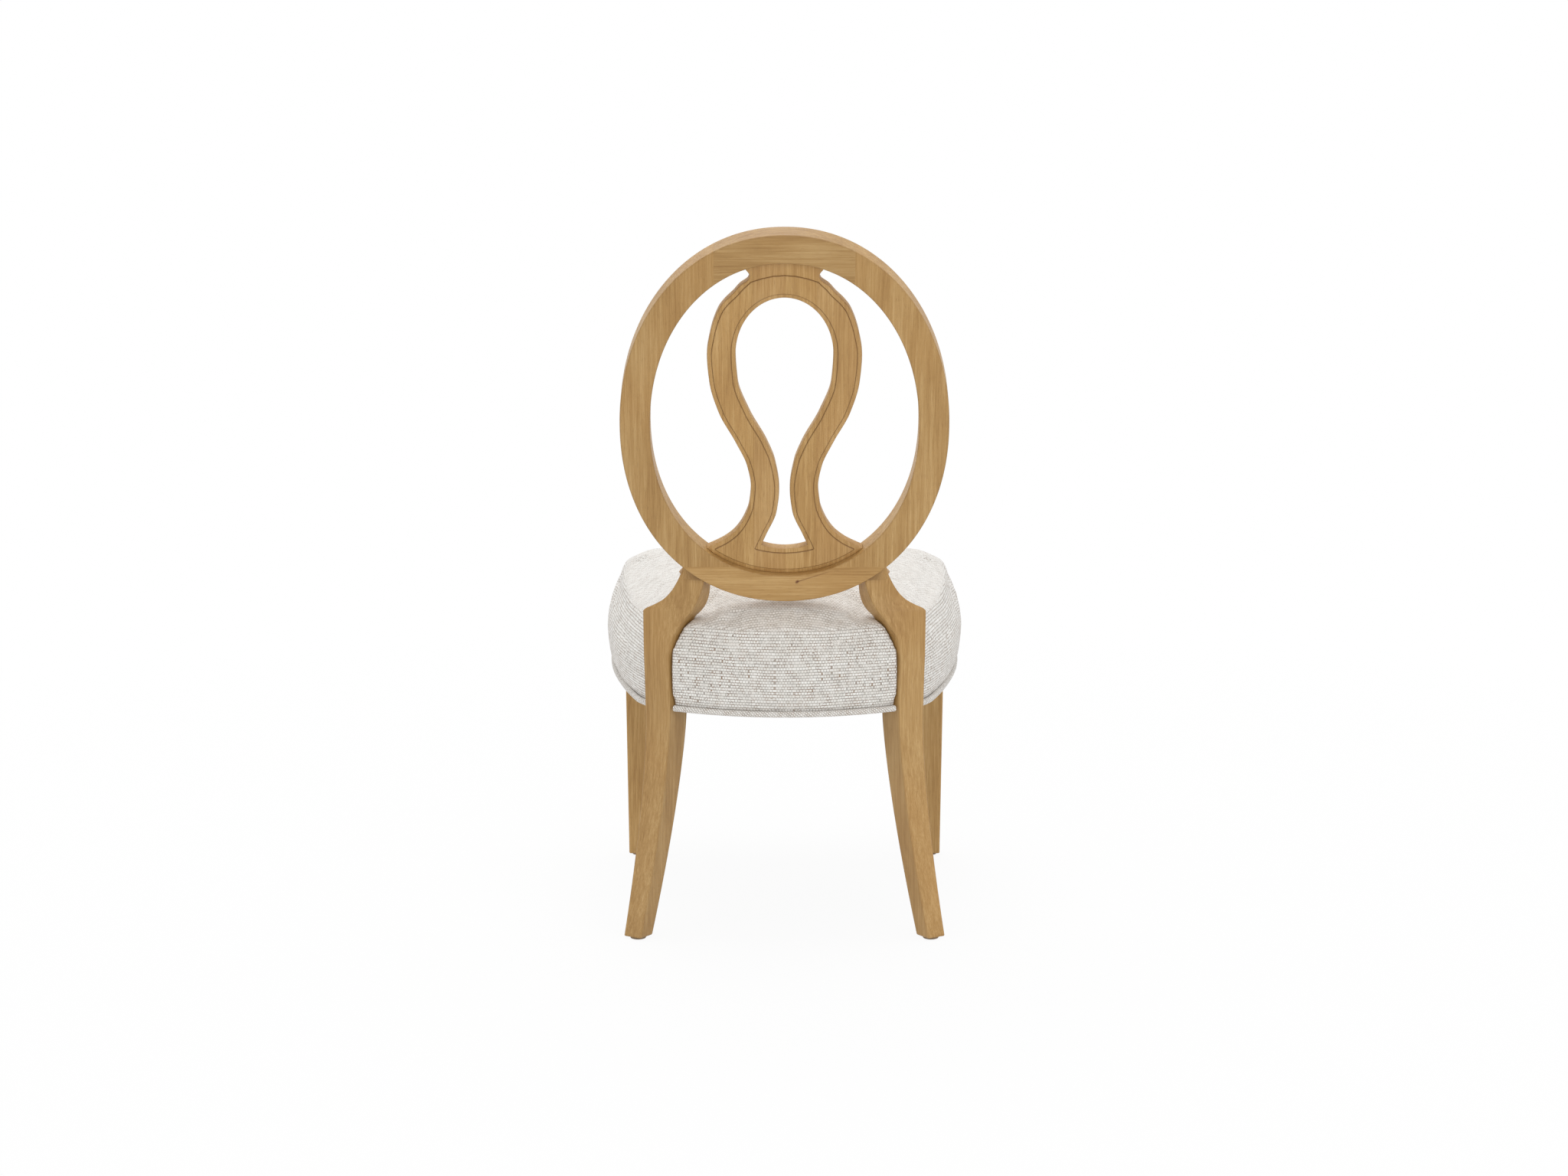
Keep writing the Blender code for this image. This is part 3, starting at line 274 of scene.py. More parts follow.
class Paint(Graph):
    """A material under construction."""

    def __init__(self, name, roughness=0.5, metallic=0.0, sheen=0.0, gloss=0.5):
        self.material = bpy.data.materials.new(name)
        self.material.use_nodes = True
        super().__init__(self.material.node_tree)
        self.shader = self.tree.nodes["Principled BSDF"]
        for socket, value in (("Roughness", roughness), ("Metallic", metallic),
                              ("Sheen Weight", sheen), ("Specular IOR Level", gloss)):
            self.link(socket, value)

    def attribute(self, name, output="Vector"):
        node = self.node("ShaderNodeAttribute", {"attribute_name": name})
        return node.outputs[output]

    def number(self, name):
        return Value(self, self.attribute(name, "Fac"))

    def split(self, vector):
        node = self.node("ShaderNodeSeparateXYZ", inputs={0: vector})
        return [Value(self, output) for output in node.outputs]

    def join(self, x, y, z=0.0):
        return self.node("ShaderNodeCombineXYZ", inputs={0: x, 1: y, 2: z}).outputs[0]

    def scaled(self, vector, scale):
        node = self.node("ShaderNodeVectorMath", {"operation": "MULTIPLY"}, {0: vector, 1: scale})
        return node.outputs[0]

    def noise(self, vector, scale=1.0, detail=2.0, roughness=0.5):
        node = self.node("ShaderNodeTexNoise", inputs={
            "Vector": vector, "Scale": scale, "Detail": detail, "Roughness": roughness})
        return Value(self, node.outputs["Fac"])

    def grained(self, grain, per_metre, detail=2.0, roughness=0.5):
        """Noise drawn out along the grain: so many waves a metre along it and across it."""
        along, across = per_metre
        return self.noise(self.scaled(grain, (along, across, across)), detail=detail,
                          roughness=roughness)

    def random(self, vector):
        node = self.node("ShaderNodeTexWhiteNoise", {"noise_dimensions": "3D"}, {"Vector": vector})
        return Value(self, node.outputs["Value"])

    def mix(self, first, second, share, blend="MIX"):
        def four(colour):
            return (*colour, 1.0) if isinstance(colour, (tuple, list)) else colour
        node = self.node("ShaderNodeMix", {"data_type": "RGBA", "blend_type": blend},
                         {"Factor": share, 6: four(first), 7: four(second)})
        return node.outputs[2]

    def link(self, socket, value):
        self.feed(self.shader.inputs[socket], value)

    def bump(self, height, distance, strength=1.0):
        node = self.node("ShaderNodeBump", inputs={
            "Height": height, "Distance": distance, "Strength": strength})
        self.link("Normal", node.outputs[0])


# Waves of the wood's figure in a metre along the grain and across it
WOOD_DRIFT, WOOD_WARMTH, WOOD_CLOUD = (3.0, 26.0), (5.0, 9.0), (7.0, 34.0)
WOOD_STREAK, WOOD_FIBRE, WOOD_PORES = (10.0, 260.0), (16.0, 900.0), (75.0, 1900.0)
WARM_OAK, BROWN_BOARD, KNOT_BROWN = srgb(176, 126, 62), srgb(166, 127, 86), srgb(96, 52, 34)
# The boards glued up for the splat
BOARD_WIDTH, BOARD_SHIFT = 0.0425, 10.02
# The pin knot in the ring's lowest segment, from the ring's middle
KNOT_X, KNOT_DROP, KNOT_SLANT = 0.0175, 0.2456, 0.36


def oak_paint(name, coordinates, boards=False, mark=False, warmth=0.0, tone=1.0):
    """Lacquered oak. Coordinates run along the grain first; the tone scales its lightness, which
    paints light and shade on each part.
    """
    tint = bpy.context.scene.chair_colours
    paint = Paint(name, roughness=0.42, gloss=0.35)
    grain = coordinates(paint)
    along, across, depth = paint.split(grain)
    board = None
    if boards:
        row = across / BOARD_WIDTH + BOARD_SHIFT
        board = paint.random(paint.join(row.floor(), 3.0))
        edge = ((row.fract() - 0.5).absolute() * 2).above(0.962, 0.995)
        along = along + board * 3.7
        grain = paint.join(along, across, depth)
    drift = paint.grained(grain, WOOD_DRIFT)
    rings = across * 190 + depth * 130 + along * 4 + drift * 9
    bands = ((rings.fract() - 0.5).absolute() * 2) ** 1.6
    fibre = paint.grained(grain, WOOD_FIBRE, detail=3.0, roughness=0.6)
    cloud = paint.grained(grain, WOOD_CLOUD)
    streak = paint.grained(grain, WOOD_STREAK)
    pores = paint.grained(grain, WOOD_PORES, detail=1.0).above(0.62, 0.74)
    flame = cloud.above(0.40, 0.66)
    figure = bands * flame * 0.16 + fibre * 0.80 + streak * 0.70 + cloud * 0.50 - 0.62
    ramp = paint.node("ShaderNodeValToRGB", {"stops": [
        (0.05, tuple(tint.oak_light)), (0.42, tuple(tint.oak)), (0.95, tuple(tint.oak_dark))]},
        {"Fac": figure})
    # Painted light and shade: the tone lightens or darkens the whole part.
    colour = paint.mix(ramp.outputs[0], (tone, tone, tone), 1.0, blend="MULTIPLY")
    colour = paint.mix(colour, tuple(tint.oak_dark), pores * 0.50)
    if boards:
        colour = paint.mix(colour, BROWN_BOARD, board.above(0.55, 0.95) * 0.25)
        colour = paint.mix(colour, tuple(tint.oak_dark), edge * 0.35)
    if mark:
        # A pin knot with a dark streak running up from it
        run = along * -1 - KNOT_X
        line = across + KNOT_DROP - (run * KNOT_SLANT)
        near = 1 - (line.absolute() / 0.0014).above(0.15, 1.0)
        span = run.above(0.0, 0.003) * (1 - run.above(0.030, 0.050))
        knot = 1 - ((run ** 2 + line ** 2) ** 0.5).above(0.0012, 0.0034)
        dark = (near * span * (fibre * 1.6 - 0.10) * 0.80 + knot * 0.9).above(0.0, 1.0)
        colour = paint.mix(colour, KNOT_BROWN, dark)
    warm = paint.grained(grain, WOOD_WARMTH, detail=1.0).above(0.45, 0.8)
    colour = paint.mix(colour, WARM_OAK, warm * (0.25 + warmth))
    # The stored mask lays this colour as glaze along arrises and in the splat's step, and as
    # painted shadow where the necks meet the ring and along the feet's lowest edge.
    colour = paint.mix(colour, tuple(tint.glaze), paint.number("glaze") ** 1.3 * 0.72)
    paint.link("Base Color", colour)
    paint.link("Roughness", 0.36 + fibre * 0.14 + pores * 0.10)
    paint.bump(fibre * 0.5 + streak * 0.3 - pores * 0.9, 0.00022, 0.6)
    return paint.material


def from_grain(paint):
    """Grain read from what the mesh stores."""
    return paint.attribute("grain")


def from_object(turn=(0.0, 0.0, 0.0)):
    """Grain read from object coordinates; the turn brings the grain to X."""
    def read(paint):
        where = paint.node("ShaderNodeTexCoord").outputs["Object"]
        mapping = paint.node("ShaderNodeMapping", inputs={"Vector": where, "Rotation": turn})
        return mapping.outputs[0]
    return read


def plain_wood_paint(name, light, dark, turn):
    """Bare frame timber, which shows only where the chair is taken apart."""
    paint = Paint(name, roughness=0.62)
    grain = from_object(turn)(paint)
    fibre = paint.grained(grain, (14.0, 520.0), detail=3.0)
    cloud = paint.grained(grain, (4.0, 30.0))
    flecks = paint.grained(grain, (120.0, 900.0), detail=1.0).above(0.60, 0.70)
    tone = fibre * 0.7 + cloud * 0.5 - 0.1
    colour = paint.mix(light, dark, tone.above(0.1, 0.9))
    colour = paint.mix(colour, dark, flecks * 0.4)
    paint.link("Base Color", colour)
    paint.bump(fibre, 0.0002, 0.5)
    return paint.material


def cloth_paint(name, scale=1.0, welt=False):
    """Cream basket weave with brown flecks, read from the piece's own map in metres."""
    tint = bpy.context.scene.chair_colours
    sizes = bpy.context.scene.chair_sizes
    paint = Paint(name, roughness=0.9, sheen=0.15, gloss=0.2)
    flat = paint.node("ShaderNodeUVMap", {"uv_map": "weave"}).outputs[0]
    u, v, _ = paint.split(flat)
    sway = paint.noise(paint.join(u * 14, v * 14), detail=1.0)
    u = u + (sway - 0.5) * 0.004
    v = v + (paint.noise(paint.join(u * 9, v * 21, 4.0), detail=1.0) - 0.5) * 0.004
    row = v / (sizes.row_pitch * scale)
    row_index = row.floor()
    shift = (row_index * 0.5).fract()
    column = u / (sizes.yarn_pitch * scale) + shift
    cell = paint.random(paint.join(column.floor(), row_index))
    other = paint.random(paint.join(column.floor(), row_index, 7.0))
    across = (column.fract() - 0.5).absolute() * 2
    up = (row.fract() - 0.5).absolute() * 2
    float_yarn = (1 - across ** 3.5) * (1 - up ** 2)
    slub = paint.noise(paint.join(u * 30, row_index * 0.73), detail=1.0)
    drawn = paint.noise(paint.join(column.floor() * 0.61, v * 22), detail=1.0)
    # Painted light: faces that look up lose half their dark gaps, so the top reads lighter
    gaps_less_painted_top_light = 1 - paint.number("lay") * 0.5
    gap = (1 - float_yarn).above(0.35, 0.95) * gaps_less_painted_top_light
    colour = paint.mix(tuple(tint.cloth), tuple(tint.cloth_shade),
                       (gap * 0.95 + cell * 0.30 + (slub - 0.5) * 0.6 - 0.08).above(0.0, 1.0))
    # Painted highlight: near-white dashes on the raised yarn floats.
    colour = paint.mix(colour, srgb(250, 249, 246), (float_yarn * slub.above(0.45, 0.62)) * 0.75)
    pick = (other * 0.60 + drawn * 0.9).above(0.78, 0.92)
    colour = paint.mix(colour, tuple(tint.fleck), gap * pick * 0.90)
    colour = paint.mix(colour, srgb(150, 145, 140), gap * cell.above(0.55, 0.9) * 0.60)
    if welt:
        colour = paint.mix(colour, srgb(196, 189, 178), 0.12)
    paint.link("Base Color", colour)
    fuzz = paint.noise(paint.join(u * 4200, v * 4200), detail=2.0)
    paint.bump(float_yarn * (0.8 + slub * 0.4) + fuzz * 0.10, 0.0005, 0.40)
    return paint.material


def speckled_paint(name, base, other, scale, roughness, metallic=0.0, depth=0.0003):
    """A plain finish with a fine mottle, for foam, lining, nylon and steel."""
    paint = Paint(name, roughness=roughness, metallic=metallic)
    spot = from_object()(paint)
    fine = paint.noise(spot, scale=scale, detail=3.0, roughness=0.65)
    broad = paint.noise(spot, scale=scale / 9, detail=1.0)
    colour = paint.mix(base, other, (fine * 0.8 + broad * 0.4 - 0.1).above(0.2, 0.8))
    paint.link("Base Color", colour)
    paint.link("Roughness", roughness - 0.08 + fine * 0.16)
    paint.bump(fine, depth, 0.5)
    return paint.material


# Mesh building

def make_piece(name, mesh, material, *nodes, slot=None):
    """Adds a finished piece that stands for CAD nodes and rides on the chair."""
    made = bpy.data.objects.new(name, mesh)
    bpy.context.scene.collection.objects.link(made)
    mesh.materials.clear()
    mesh.materials.append(material)
    if nodes:
        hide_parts(*nodes)
    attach(made, BODY)
    return made


def store(mesh, name, values, kind="FLOAT_VECTOR"):
    """Stores a value on each vertex."""
    layer = mesh.attributes.new(name, kind, "POINT")
    key = "vector" if kind == "FLOAT_VECTOR" else "value"
    layer.data.foreach_set(key, np.asarray(values, np.float32).ravel())


def points_of(mesh):
    """The mesh's vertices as an array."""
    return np.array([v.co for v in mesh.vertices])


def numbers_of(mesh, name):
    """The values of a number that each vertex stores."""
    values = np.zeros(len(mesh.vertices), np.float32)
    mesh.attributes[name].data.foreach_get("value", values)
    return values


def corners_of(mesh):
    """The vertex at each corner of each face."""
    corners = np.zeros(len(mesh.loops), np.int32)
    mesh.loops.foreach_get("vertex_index", corners)
    return corners


def modified(item, kind, **settings):
    """The object's mesh as one more modifier leaves it."""
    modifier = item.modifiers.new(kind.lower(), kind)
    for key, value in settings.items():
        setattr(modifier, key, value)
    mesh = evaluated(item)
    item.modifiers.remove(modifier)
    return mesh


def evaluated(item):
    """A new mesh of the object with its modifiers applied."""
    return bpy.data.meshes.new_from_object(
        item.evaluated_get(bpy.context.evaluated_depsgraph_get()))


def loft(name, rings, grain, glaze=None, ends=True, loop=False, sharp=32.0):
    """Skins rings of points, which come as an array of ring by point by axis."""
    rings = np.asarray(rings, float)
    count, around = rings.shape[:2]
    faces = []
    for k in range(count if loop else count - 1):
        a, b = k * around, (k + 1) % count * around
        for i in range(around):
            j = (i + 1) % around
            faces.append((a + i, a + j, b + j, b + i))
    if ends and not loop:
        faces.append(tuple(range(around)))
        faces.append(tuple(range((count - 1) * around, count * around)))
    mesh = bpy.data.meshes.new(name)
    mesh.from_pydata(place(rings).reshape(-1, 3).tolist(), [], faces)
    store(mesh, "grain", np.asarray(grain).reshape(-1, 3))
    store(mesh, "glaze", np.zeros(count * around) if glaze is None else np.ravel(glaze), "FLOAT")
    tidy(mesh, sharp)
    return mesh


def tidy(mesh, sharp):
    """Turns every face outwards and shades the mesh smooth up to an angle."""
    made = bmesh.new()
    made.from_mesh(mesh)
    bmesh.ops.recalc_face_normals(made, faces=made.faces)
    if made.calc_volume(signed=True) < 0:
        bmesh.ops.reverse_faces(made, faces=made.faces)
    made.to_mesh(mesh)
    made.free()
    mesh.shade_smooth()
    mesh.set_sharp_from_angle(angle=math.radians(sharp))


def smooth_knots(knots, at):
    """Monotone cubic through (position, value) knots."""
    knots = sorted(knots)
    x = np.array([k[0] for k in knots])
    y = np.array([k[1] for k in knots])
    h = np.diff(x)
    slope = np.diff(y) / h
    tangent = np.zeros(len(x))
    tangent[0], tangent[-1] = slope[0], slope[-1]
    for i in range(1, len(x) - 1):
        if slope[i - 1] * slope[i] > 0:
            left = 2 * h[i] + h[i - 1]
            right = h[i] + 2 * h[i - 1]
            tangent[i] = (left + right) / (left / slope[i - 1] + right / slope[i])
    at = np.atleast_1d(np.asarray(at, float))
    i = np.clip(np.searchsorted(x, at) - 1, 0, len(h) - 1)
    t = (at - x[i]) / h[i]
    a = (1 + 2 * t) * (1 - t) ** 2 * y[i] + t * (1 - t) ** 2 * h[i] * tangent[i]
    return a + t * t * (3 - 2 * t) * y[i + 1] + t * t * (t - 1) * h[i] * tangent[i + 1]


def round_polygon(corners, radius, steps=4, hold=0.0006):
    """Eases the corners of a plan polygon. Also says how near each point is to an arris."""
    corners = np.asarray(corners, float)
    points, near = [], []
    count = len(corners)
    for k in range(count):
        corner = corners[k]
        before = corners[k - 1] - corner
        after = corners[(k + 1) % count] - corner
        before /= np.linalg.norm(before)
        after /= np.linalg.norm(after)
        start, finish = corner + before * radius, corner + after * radius
        points.append(start + before * hold)
        near.append(0.0)
        for j in range(steps + 1):
            t = j / steps
            points.append((1 - t) ** 2 * start + 2 * t * (1 - t) * corner + t * t * finish)
            near.append(math.sin(math.pi * t))
        points.append(finish + after * hold)
        near.append(0.0)
    return np.array(points), np.array(near)


# The back ring

def oval(t, inset):
    """Points on the oval at angles t, moved in square to its edge; x and z."""
    t = np.asarray(t, float)

    def outer(angle):
        c, s = np.cos(angle), np.sin(angle)
        power = 2 / RING_ROUNDNESS
        x = RING_HALF_WIDTH * np.copysign(np.abs(c) ** power, c) * (1 - RING_EGG * s)
        return x, RING_HALF_HEIGHT * np.copysign(np.abs(s) ** power, s)

    x, z = outer(t)
    ahead, behind = outer(t + 0.01), outer(t - 0.01)
    dx, dz = ahead[0] - behind[0], ahead[1] - behind[1]
    size = np.hypot(dx, dz)
    return x - dz / size * inset, z + dx / size * inset


def angle_where(axis, value, low, high, inset):
    """The angle between low and high where the oval's x (0) or z (1) passes a value."""
    sign = oval(low, inset)[axis] > value
    for _ in range(50):
        middle = (low + high) / 2
        if (oval(middle, inset)[axis] > value) == sign:
            low = middle
        else:
            high = middle
    return (low + high) / 2


def ring_section():
    """Inset, depth and arris nearness round the band."""
    w, d = RING_BAND, RING_THICKNESS
    points, near = round_polygon([(0, 0), (w, 0), (w, -d), (0, -d)], RING_EDGE)
    return points, near


HAIR = 0.00001              # half the gap at a seam
SEAM_SHARE = 0.0035         # of a segment's length, next to each seam
# Painted shade on each segment: its board is darkened by how the light falls on it, most at the
# top, which leans back
RING_PAINTED_SHADE = {"top": 0.84, "left": 0.88, "right": 0.92, "bottom": 0.98}


class CHAIR_OT_ring(bpy.types.Operator):
    """Sweep the four oak segments of the back ring"""
    bl_idname = "chair.ring"
    bl_label = "Back Ring"

    def execute(self, context):
        section, near = ring_section()
        half = math.pi / 2
        drop = -LOWER_SEAM_DROP
        plans = {
            "top": ((0, TOP_SEAM_X - HAIR, 0.1, half), (0, -TOP_SEAM_X + HAIR, half, math.pi - 0.1),
                    72, False),
            "left": ((1, drop + HAIR, -half, 0.0), (0, TOP_SEAM_X + HAIR, 0.1, half), 120, True),
            "right": ((0, -TOP_SEAM_X - HAIR, half, math.pi - 0.1),
                      (1, drop + HAIR, math.pi, math.pi + half), 120, True),
            "bottom": ((1, drop - HAIR, math.pi, math.pi + half),
                       (1, drop - HAIR, 3 * half, 4 * half), 90, False),
        }
        for k, (name, (first, last, steps, upright)) in enumerate(plans.items()):
            ends = []
            for axis, value, low, high in (first, last):
                ends.append(np.array([
                    angle_where(axis, value, low, high, inset) for inset, _ in section]))
            shares = np.linspace(0, 1, steps + 1)
            shares = np.concatenate([[0, SEAM_SHARE], shares[1:-1], [1 - SEAM_SHARE, 1]])
            rings, grain, glaze = [], [], []
            for share in shares:
                t = ends[0] + (ends[1] - ends[0]) * share
                x, z = oval(t, section[:, 0])
                d = section[:, 1]
                rings.append(lean(np.stack([x, d, z], -1)))
                run, rise = (z, x) if upright else (x, z)
                grain.append(np.stack([run + k * 1.31 * upright, rise, d + k * 0.17], -1))
                glaze.append(near * 0.30)
            mesh = loft(f"ring_{name}", rings, grain, glaze)
            # The tone paints shade on this segment.
            paint = oak_paint(f"oak_ring_{name}", from_grain, mark=name == "bottom",
                              warmth=0.1 if name == "top" else 0.0, tone=RING_PAINTED_SHADE[name])
            make_piece(f"ring_{name}", mesh, paint, f"back_ring_{name}")
        return {"FINISHED"}


# The splat

SPLAT_OUTER = [
    (0.2400, 0.0580), (0.2242, 0.0517), (0.2153, 0.0463), (0.2090, 0.0482),
    (0.2005, 0.0588), (0.1906, 0.0670), (0.1769, 0.0800), (0.1650, 0.0880),
    (0.1300, 0.0992), (0.0985, 0.1038), (0.0580, 0.1009), (0.0120, 0.0888),
    (-0.0340, 0.0660), (-0.0700, 0.0508), (-0.1000, 0.0460), (-0.1290, 0.0484),
    (-0.1500, 0.0552), (-0.1700, 0.0671), (-0.1840, 0.0826), (-0.1920, 0.0965),
    (-0.2020, 0.1160), (-0.2450, 0.1560),
]
SPLAT_HOLE = [
    (0.1300, 0.0608), (0.1000, 0.0653), (0.0584, 0.0628), (0.0122, 0.0473),
    (-0.0344, 0.0236), (-0.0650, 0.0127), (-0.1053, 0.0072), (-0.1400, 0.0107),
    (-0.1764, 0.0250), (-0.1925, 0.0318),
]
SPLAT_HOLE_TOP = 0.1830
SPLAT_HOLE_SAG = 0.0061
# Crown of the raised loop where the tab hides its edge
LOOP_CROWN = 0.2222
LOOP_SHOULDER = 4


def distances(points):
    """How far along an open run each of its points lies."""
    return np.concatenate([[0], np.cumsum(np.hypot(*np.diff(points, axis=0).T))])


def points_at(points, stops):
    """The points of an open run at given distances along it."""
    gone = distances(points)
    return np.stack([np.interp(stops, gone, points[:, axis]) for axis in (0, 1)], 1)


def resample(points, pitch):
    """Even points along an open run."""
    points = np.asarray(points, float)
    length = distances(points)[-1]
    return points_at(points, np.linspace(0, length, max(2, int(round(length / pitch)) + 1)))


def closed_path(points):
    """A run that ends where it starts."""
    return np.concatenate([points, points[:1]])


def side_curve(knots, count=260):
    """Points along knots of height to half width."""
    heights = np.linspace(knots[0][0], knots[-1][0], count)
    return np.stack([smooth_knots(knots, heights), heights], 1)


def moved_in(points, distance, outward=1.0):
    """Offsets an open run, listed top to bottom on the +X side, towards the wood."""
    ahead = np.gradient(points, axis=0)
    ahead /= np.hypot(ahead[:, 0], ahead[:, 1])[:, None]
    normal = np.stack([ahead[:, 1], -ahead[:, 0]], 1)
    return points + normal * distance * outward


def inside_oval(points, inset):
    """Which points lie inside the oval moved in by an inset."""
    t = np.linspace(0, 2 * math.pi, 1441)
    x, z = oval(t, inset)
    turn = np.unwrap(np.arctan2(z, x))
    reach = np.hypot(x, z)
    at = np.mod(np.arctan2(points[:, 1], points[:, 0]) - turn[0], 2 * math.pi) + turn[0]
    return np.hypot(points[:, 0], points[:, 1]) < np.interp(at, turn, reach)


def oval_angle(point):
    """The oval's own angle nearest a point."""
    t = np.linspace(0, 2 * math.pi, 2881)
    x, z = oval(t, RING_BAND)
    return t[np.argmin((x - point[0]) ** 2 + (z - point[1]) ** 2)]


def closed(half):
    """A whole outline from its +X half, listed from the top's middle to the foot's middle."""
    return np.concatenate([half, (half * (-1, 1))[::-1][1:-1]])


def splat_outline(inset_border, inset_ring, tab):
    """The splat's +X half, moved in from its own edge and from the ring's inner edge."""
    flank = side_curve(SPLAT_OUTER)
    if not tab:
        crown = [(0.0, LOOP_CROWN), (0.016, LOOP_CROWN - 0.0013), (0.032, LOOP_CROWN - 0.0050),
                 (0.048, LOOP_CROWN - 0.0107)]
        low = SPLAT_OUTER[LOOP_SHOULDER][0] - 0.0005
        rest = flank[flank[:, 1] < low]
        flank = np.concatenate([resample(crown, 0.002), rest])
    flank = moved_in(resample(flank, 0.0016), inset_border)
    limit = RING_BAND + inset_ring
    flank = flank[inside_oval(flank, limit)]
    foot_from = oval_angle(flank[-1])
    if foot_from < math.pi:
        foot_from += 2 * math.pi
    foot = np.stack(oval(np.linspace(foot_from, 1.5 * math.pi, 90)[1:], limit), 1)
    if tab:
        top_to = oval_angle(flank[0])
        head = np.stack(oval(np.linspace(math.pi / 2, top_to, 26)[:-1], limit), 1)
    else:
        head = np.array([(0.0, flank[0][1])])
        flank = flank[1:]
    return np.concatenate([head, flank, foot])


def hole_outline(grown):
    """The loop's opening, +X half, grown into the wood by a distance."""
    shoulder, half = SPLAT_HOLE[1]
    turn = np.linspace(math.pi / 2, 0, 60)[:-1]
    cap = np.stack([half * np.cos(turn), shoulder + (SPLAT_HOLE_TOP - shoulder) * np.sin(turn)], 1)
    side = side_curve(SPLAT_HOLE)
    run = resample(np.concatenate([cap, side[side[:, 1] < shoulder]]), 0.0016)
    run = moved_in(run, grown, -1.0)
    foot_z = SPLAT_HOLE[-1][0]
    reach = SPLAT_HOLE[-1][1]
    corner_x = reach + grown * 1.5
    corner_z = foot_z - grown
    run = run[run[:, 1] > corner_z + 0.0004]
    xs = np.linspace(1, 0, 34)
    sag = SPLAT_HOLE_SAG * (1 - xs ** 2)
    foot = np.stack([corner_x * xs, corner_z - sag], 1)
    return np.concatenate([run, foot])


def plate_mesh(name, outer, hole, levels):
    """A plate in the back's own plane; each level is (inset, depth, glaze)."""
    made = bmesh.new()
    data, rims = [], []
    for outline, sense in ((outer, 1.0), (hole, -1.0)):
        ahead = np.roll(outline, -1, axis=0) - np.roll(outline, 1, axis=0)
        ahead /= np.maximum(np.hypot(ahead[:, 0], ahead[:, 1]), 1e-9)[:, None]
        normal = np.stack([ahead[:, 1], -ahead[:, 0]], 1) * sense
        rows = []
        for inset, depth, dark in levels:
            flat = outline + normal * inset
            row = []
            for x, z in flat:
                row.append(made.verts.new((x, depth, z)))
                data.append((z, x, depth, dark))
            rows.append(row)
        for low, high in zip(rows, rows[1:]):
            for i in range(len(low)):
                j = (i + 1) % len(low)
                made.faces.new((low[i], low[j], high[j], high[i])).smooth = True
        rims.append((rows[0], rows[-1]))
    made.verts.ensure_lookup_table()
    made.verts.index_update()
    for side in (0, 1):
        edges = []
        for pair in rims:
            row = pair[side]
            for i in range(len(row)):
                edges.append(made.edges.get((row[i], row[(i + 1) % len(row)])))
        filled = bmesh.ops.triangle_fill(made, edges=edges, use_beauty=True)
        for item in filled["geom"]:
            if isinstance(item, bmesh.types.BMFace):
                item.smooth = False
    bmesh.ops.recalc_face_normals(made, faces=made.faces)
    if made.calc_volume(signed=True) < 0:
        bmesh.ops.reverse_faces(made, faces=made.faces)
    mesh = bpy.data.meshes.new(name)
    made.to_mesh(mesh)
    made.free()
    mesh.vertices.foreach_set("co", place(lean(points_of(mesh))).ravel())
    data = np.array(data)
    store(mesh, "grain", data[:, :3])
    store(mesh, "glaze", data[:, 3], "FLOAT")
    mesh.set_sharp_from_angle(angle=math.radians(50))
    return mesh


def joined(name, meshes):
    """One mesh from several that share their attributes."""
    made = bmesh.new()
    for mesh in meshes:
        made.from_mesh(mesh)
    whole = bpy.data.meshes.new(name)
    made.to_mesh(whole)
    made.free()
    for mesh in meshes:
        bpy.data.meshes.remove(mesh)
    return whole


class CHAIR_OT_splat(bpy.types.Operator):
    """Build the pierced splat with its sunk border and raised loop"""
    bl_idname = "chair.splat"
    bl_label = "Splat"

    def execute(self, context):
        sizes = context.scene.chair_sizes
        front = -SPLAT_RECESS - SPLAT_THICKNESS
        ledge = -SPLAT_RECESS - sizes.step_depth
        soft, slope = 0.0018, sizes.step_depth
        base = plate_mesh(
            "splat_base", closed(splat_outline(0.0, -0.0004, True)), closed(hole_outline(0.0)),
            [(0.0, front, 0.1), (0.0, ledge - soft, 0.25), (soft * 0.15, ledge - soft * 0.5, 0.2),
             (soft * 0.5, ledge - soft * 0.15, 0.1), (soft, ledge, 0.0)])
        face = plate_mesh(
            "splat_face", closed(splat_outline(sizes.step_width, sizes.step_width, False)),
            closed(hole_outline(sizes.step_width)),
            [(0.0, ledge - 0.001, 1.0), (0.0, ledge, 1.0), (slope * 0.6, ledge + slope * 0.75, 0.9),
             (slope, -SPLAT_RECESS, 0.4), (slope + 0.0008, -SPLAT_RECESS, 0.0)])
        mesh = joined("splat_loop", [base, face])
        make_piece("splat_loop", mesh, oak_paint("oak_splat", from_grain, boards=True), "splat")
        return {"FINISHED"}


# The legs

NECK_OUTER_BACK = [
    (0.4568, 0.1977), (0.4602, 0.1950), (0.4663, 0.1822), (0.4742, 0.1689),
    (0.4932, 0.1533), (0.5239, 0.1410), (0.5600, 0.1370),
]
NECK_INNER_BACK = [
    (0.4193, 0.1576), (0.4323, 0.1499), (0.4475, 0.1392), (0.4609, 0.1285),
    (0.4888, 0.1154), (0.5039, 0.1116), (0.5600, 0.1080),
]
NECK_INNER_FRONT = [
    (0.4465, 0.1242), (0.4556, 0.1152), (0.4687, 0.1072), (0.4827, 0.1038),
    (0.4940, 0.1028), (0.5600, 0.1020),
]
NECK_OUTER_FRONT = [
    (0.4568, 0.1760), (0.4663, 0.1640), (0.4742, 0.1540), (0.4932, 0.1430),
    (0.5239, 0.1340), (0.5600, 0.1300),
]
NECK_OUTER_RECESS, NECK_INNER_RECESS, NECK_FRONT_RECESS = 0.014, 0.002, 0.0305
NECK_MEETS_RING, NECK_OUTER_MEETS = 0.5000, 0.5239
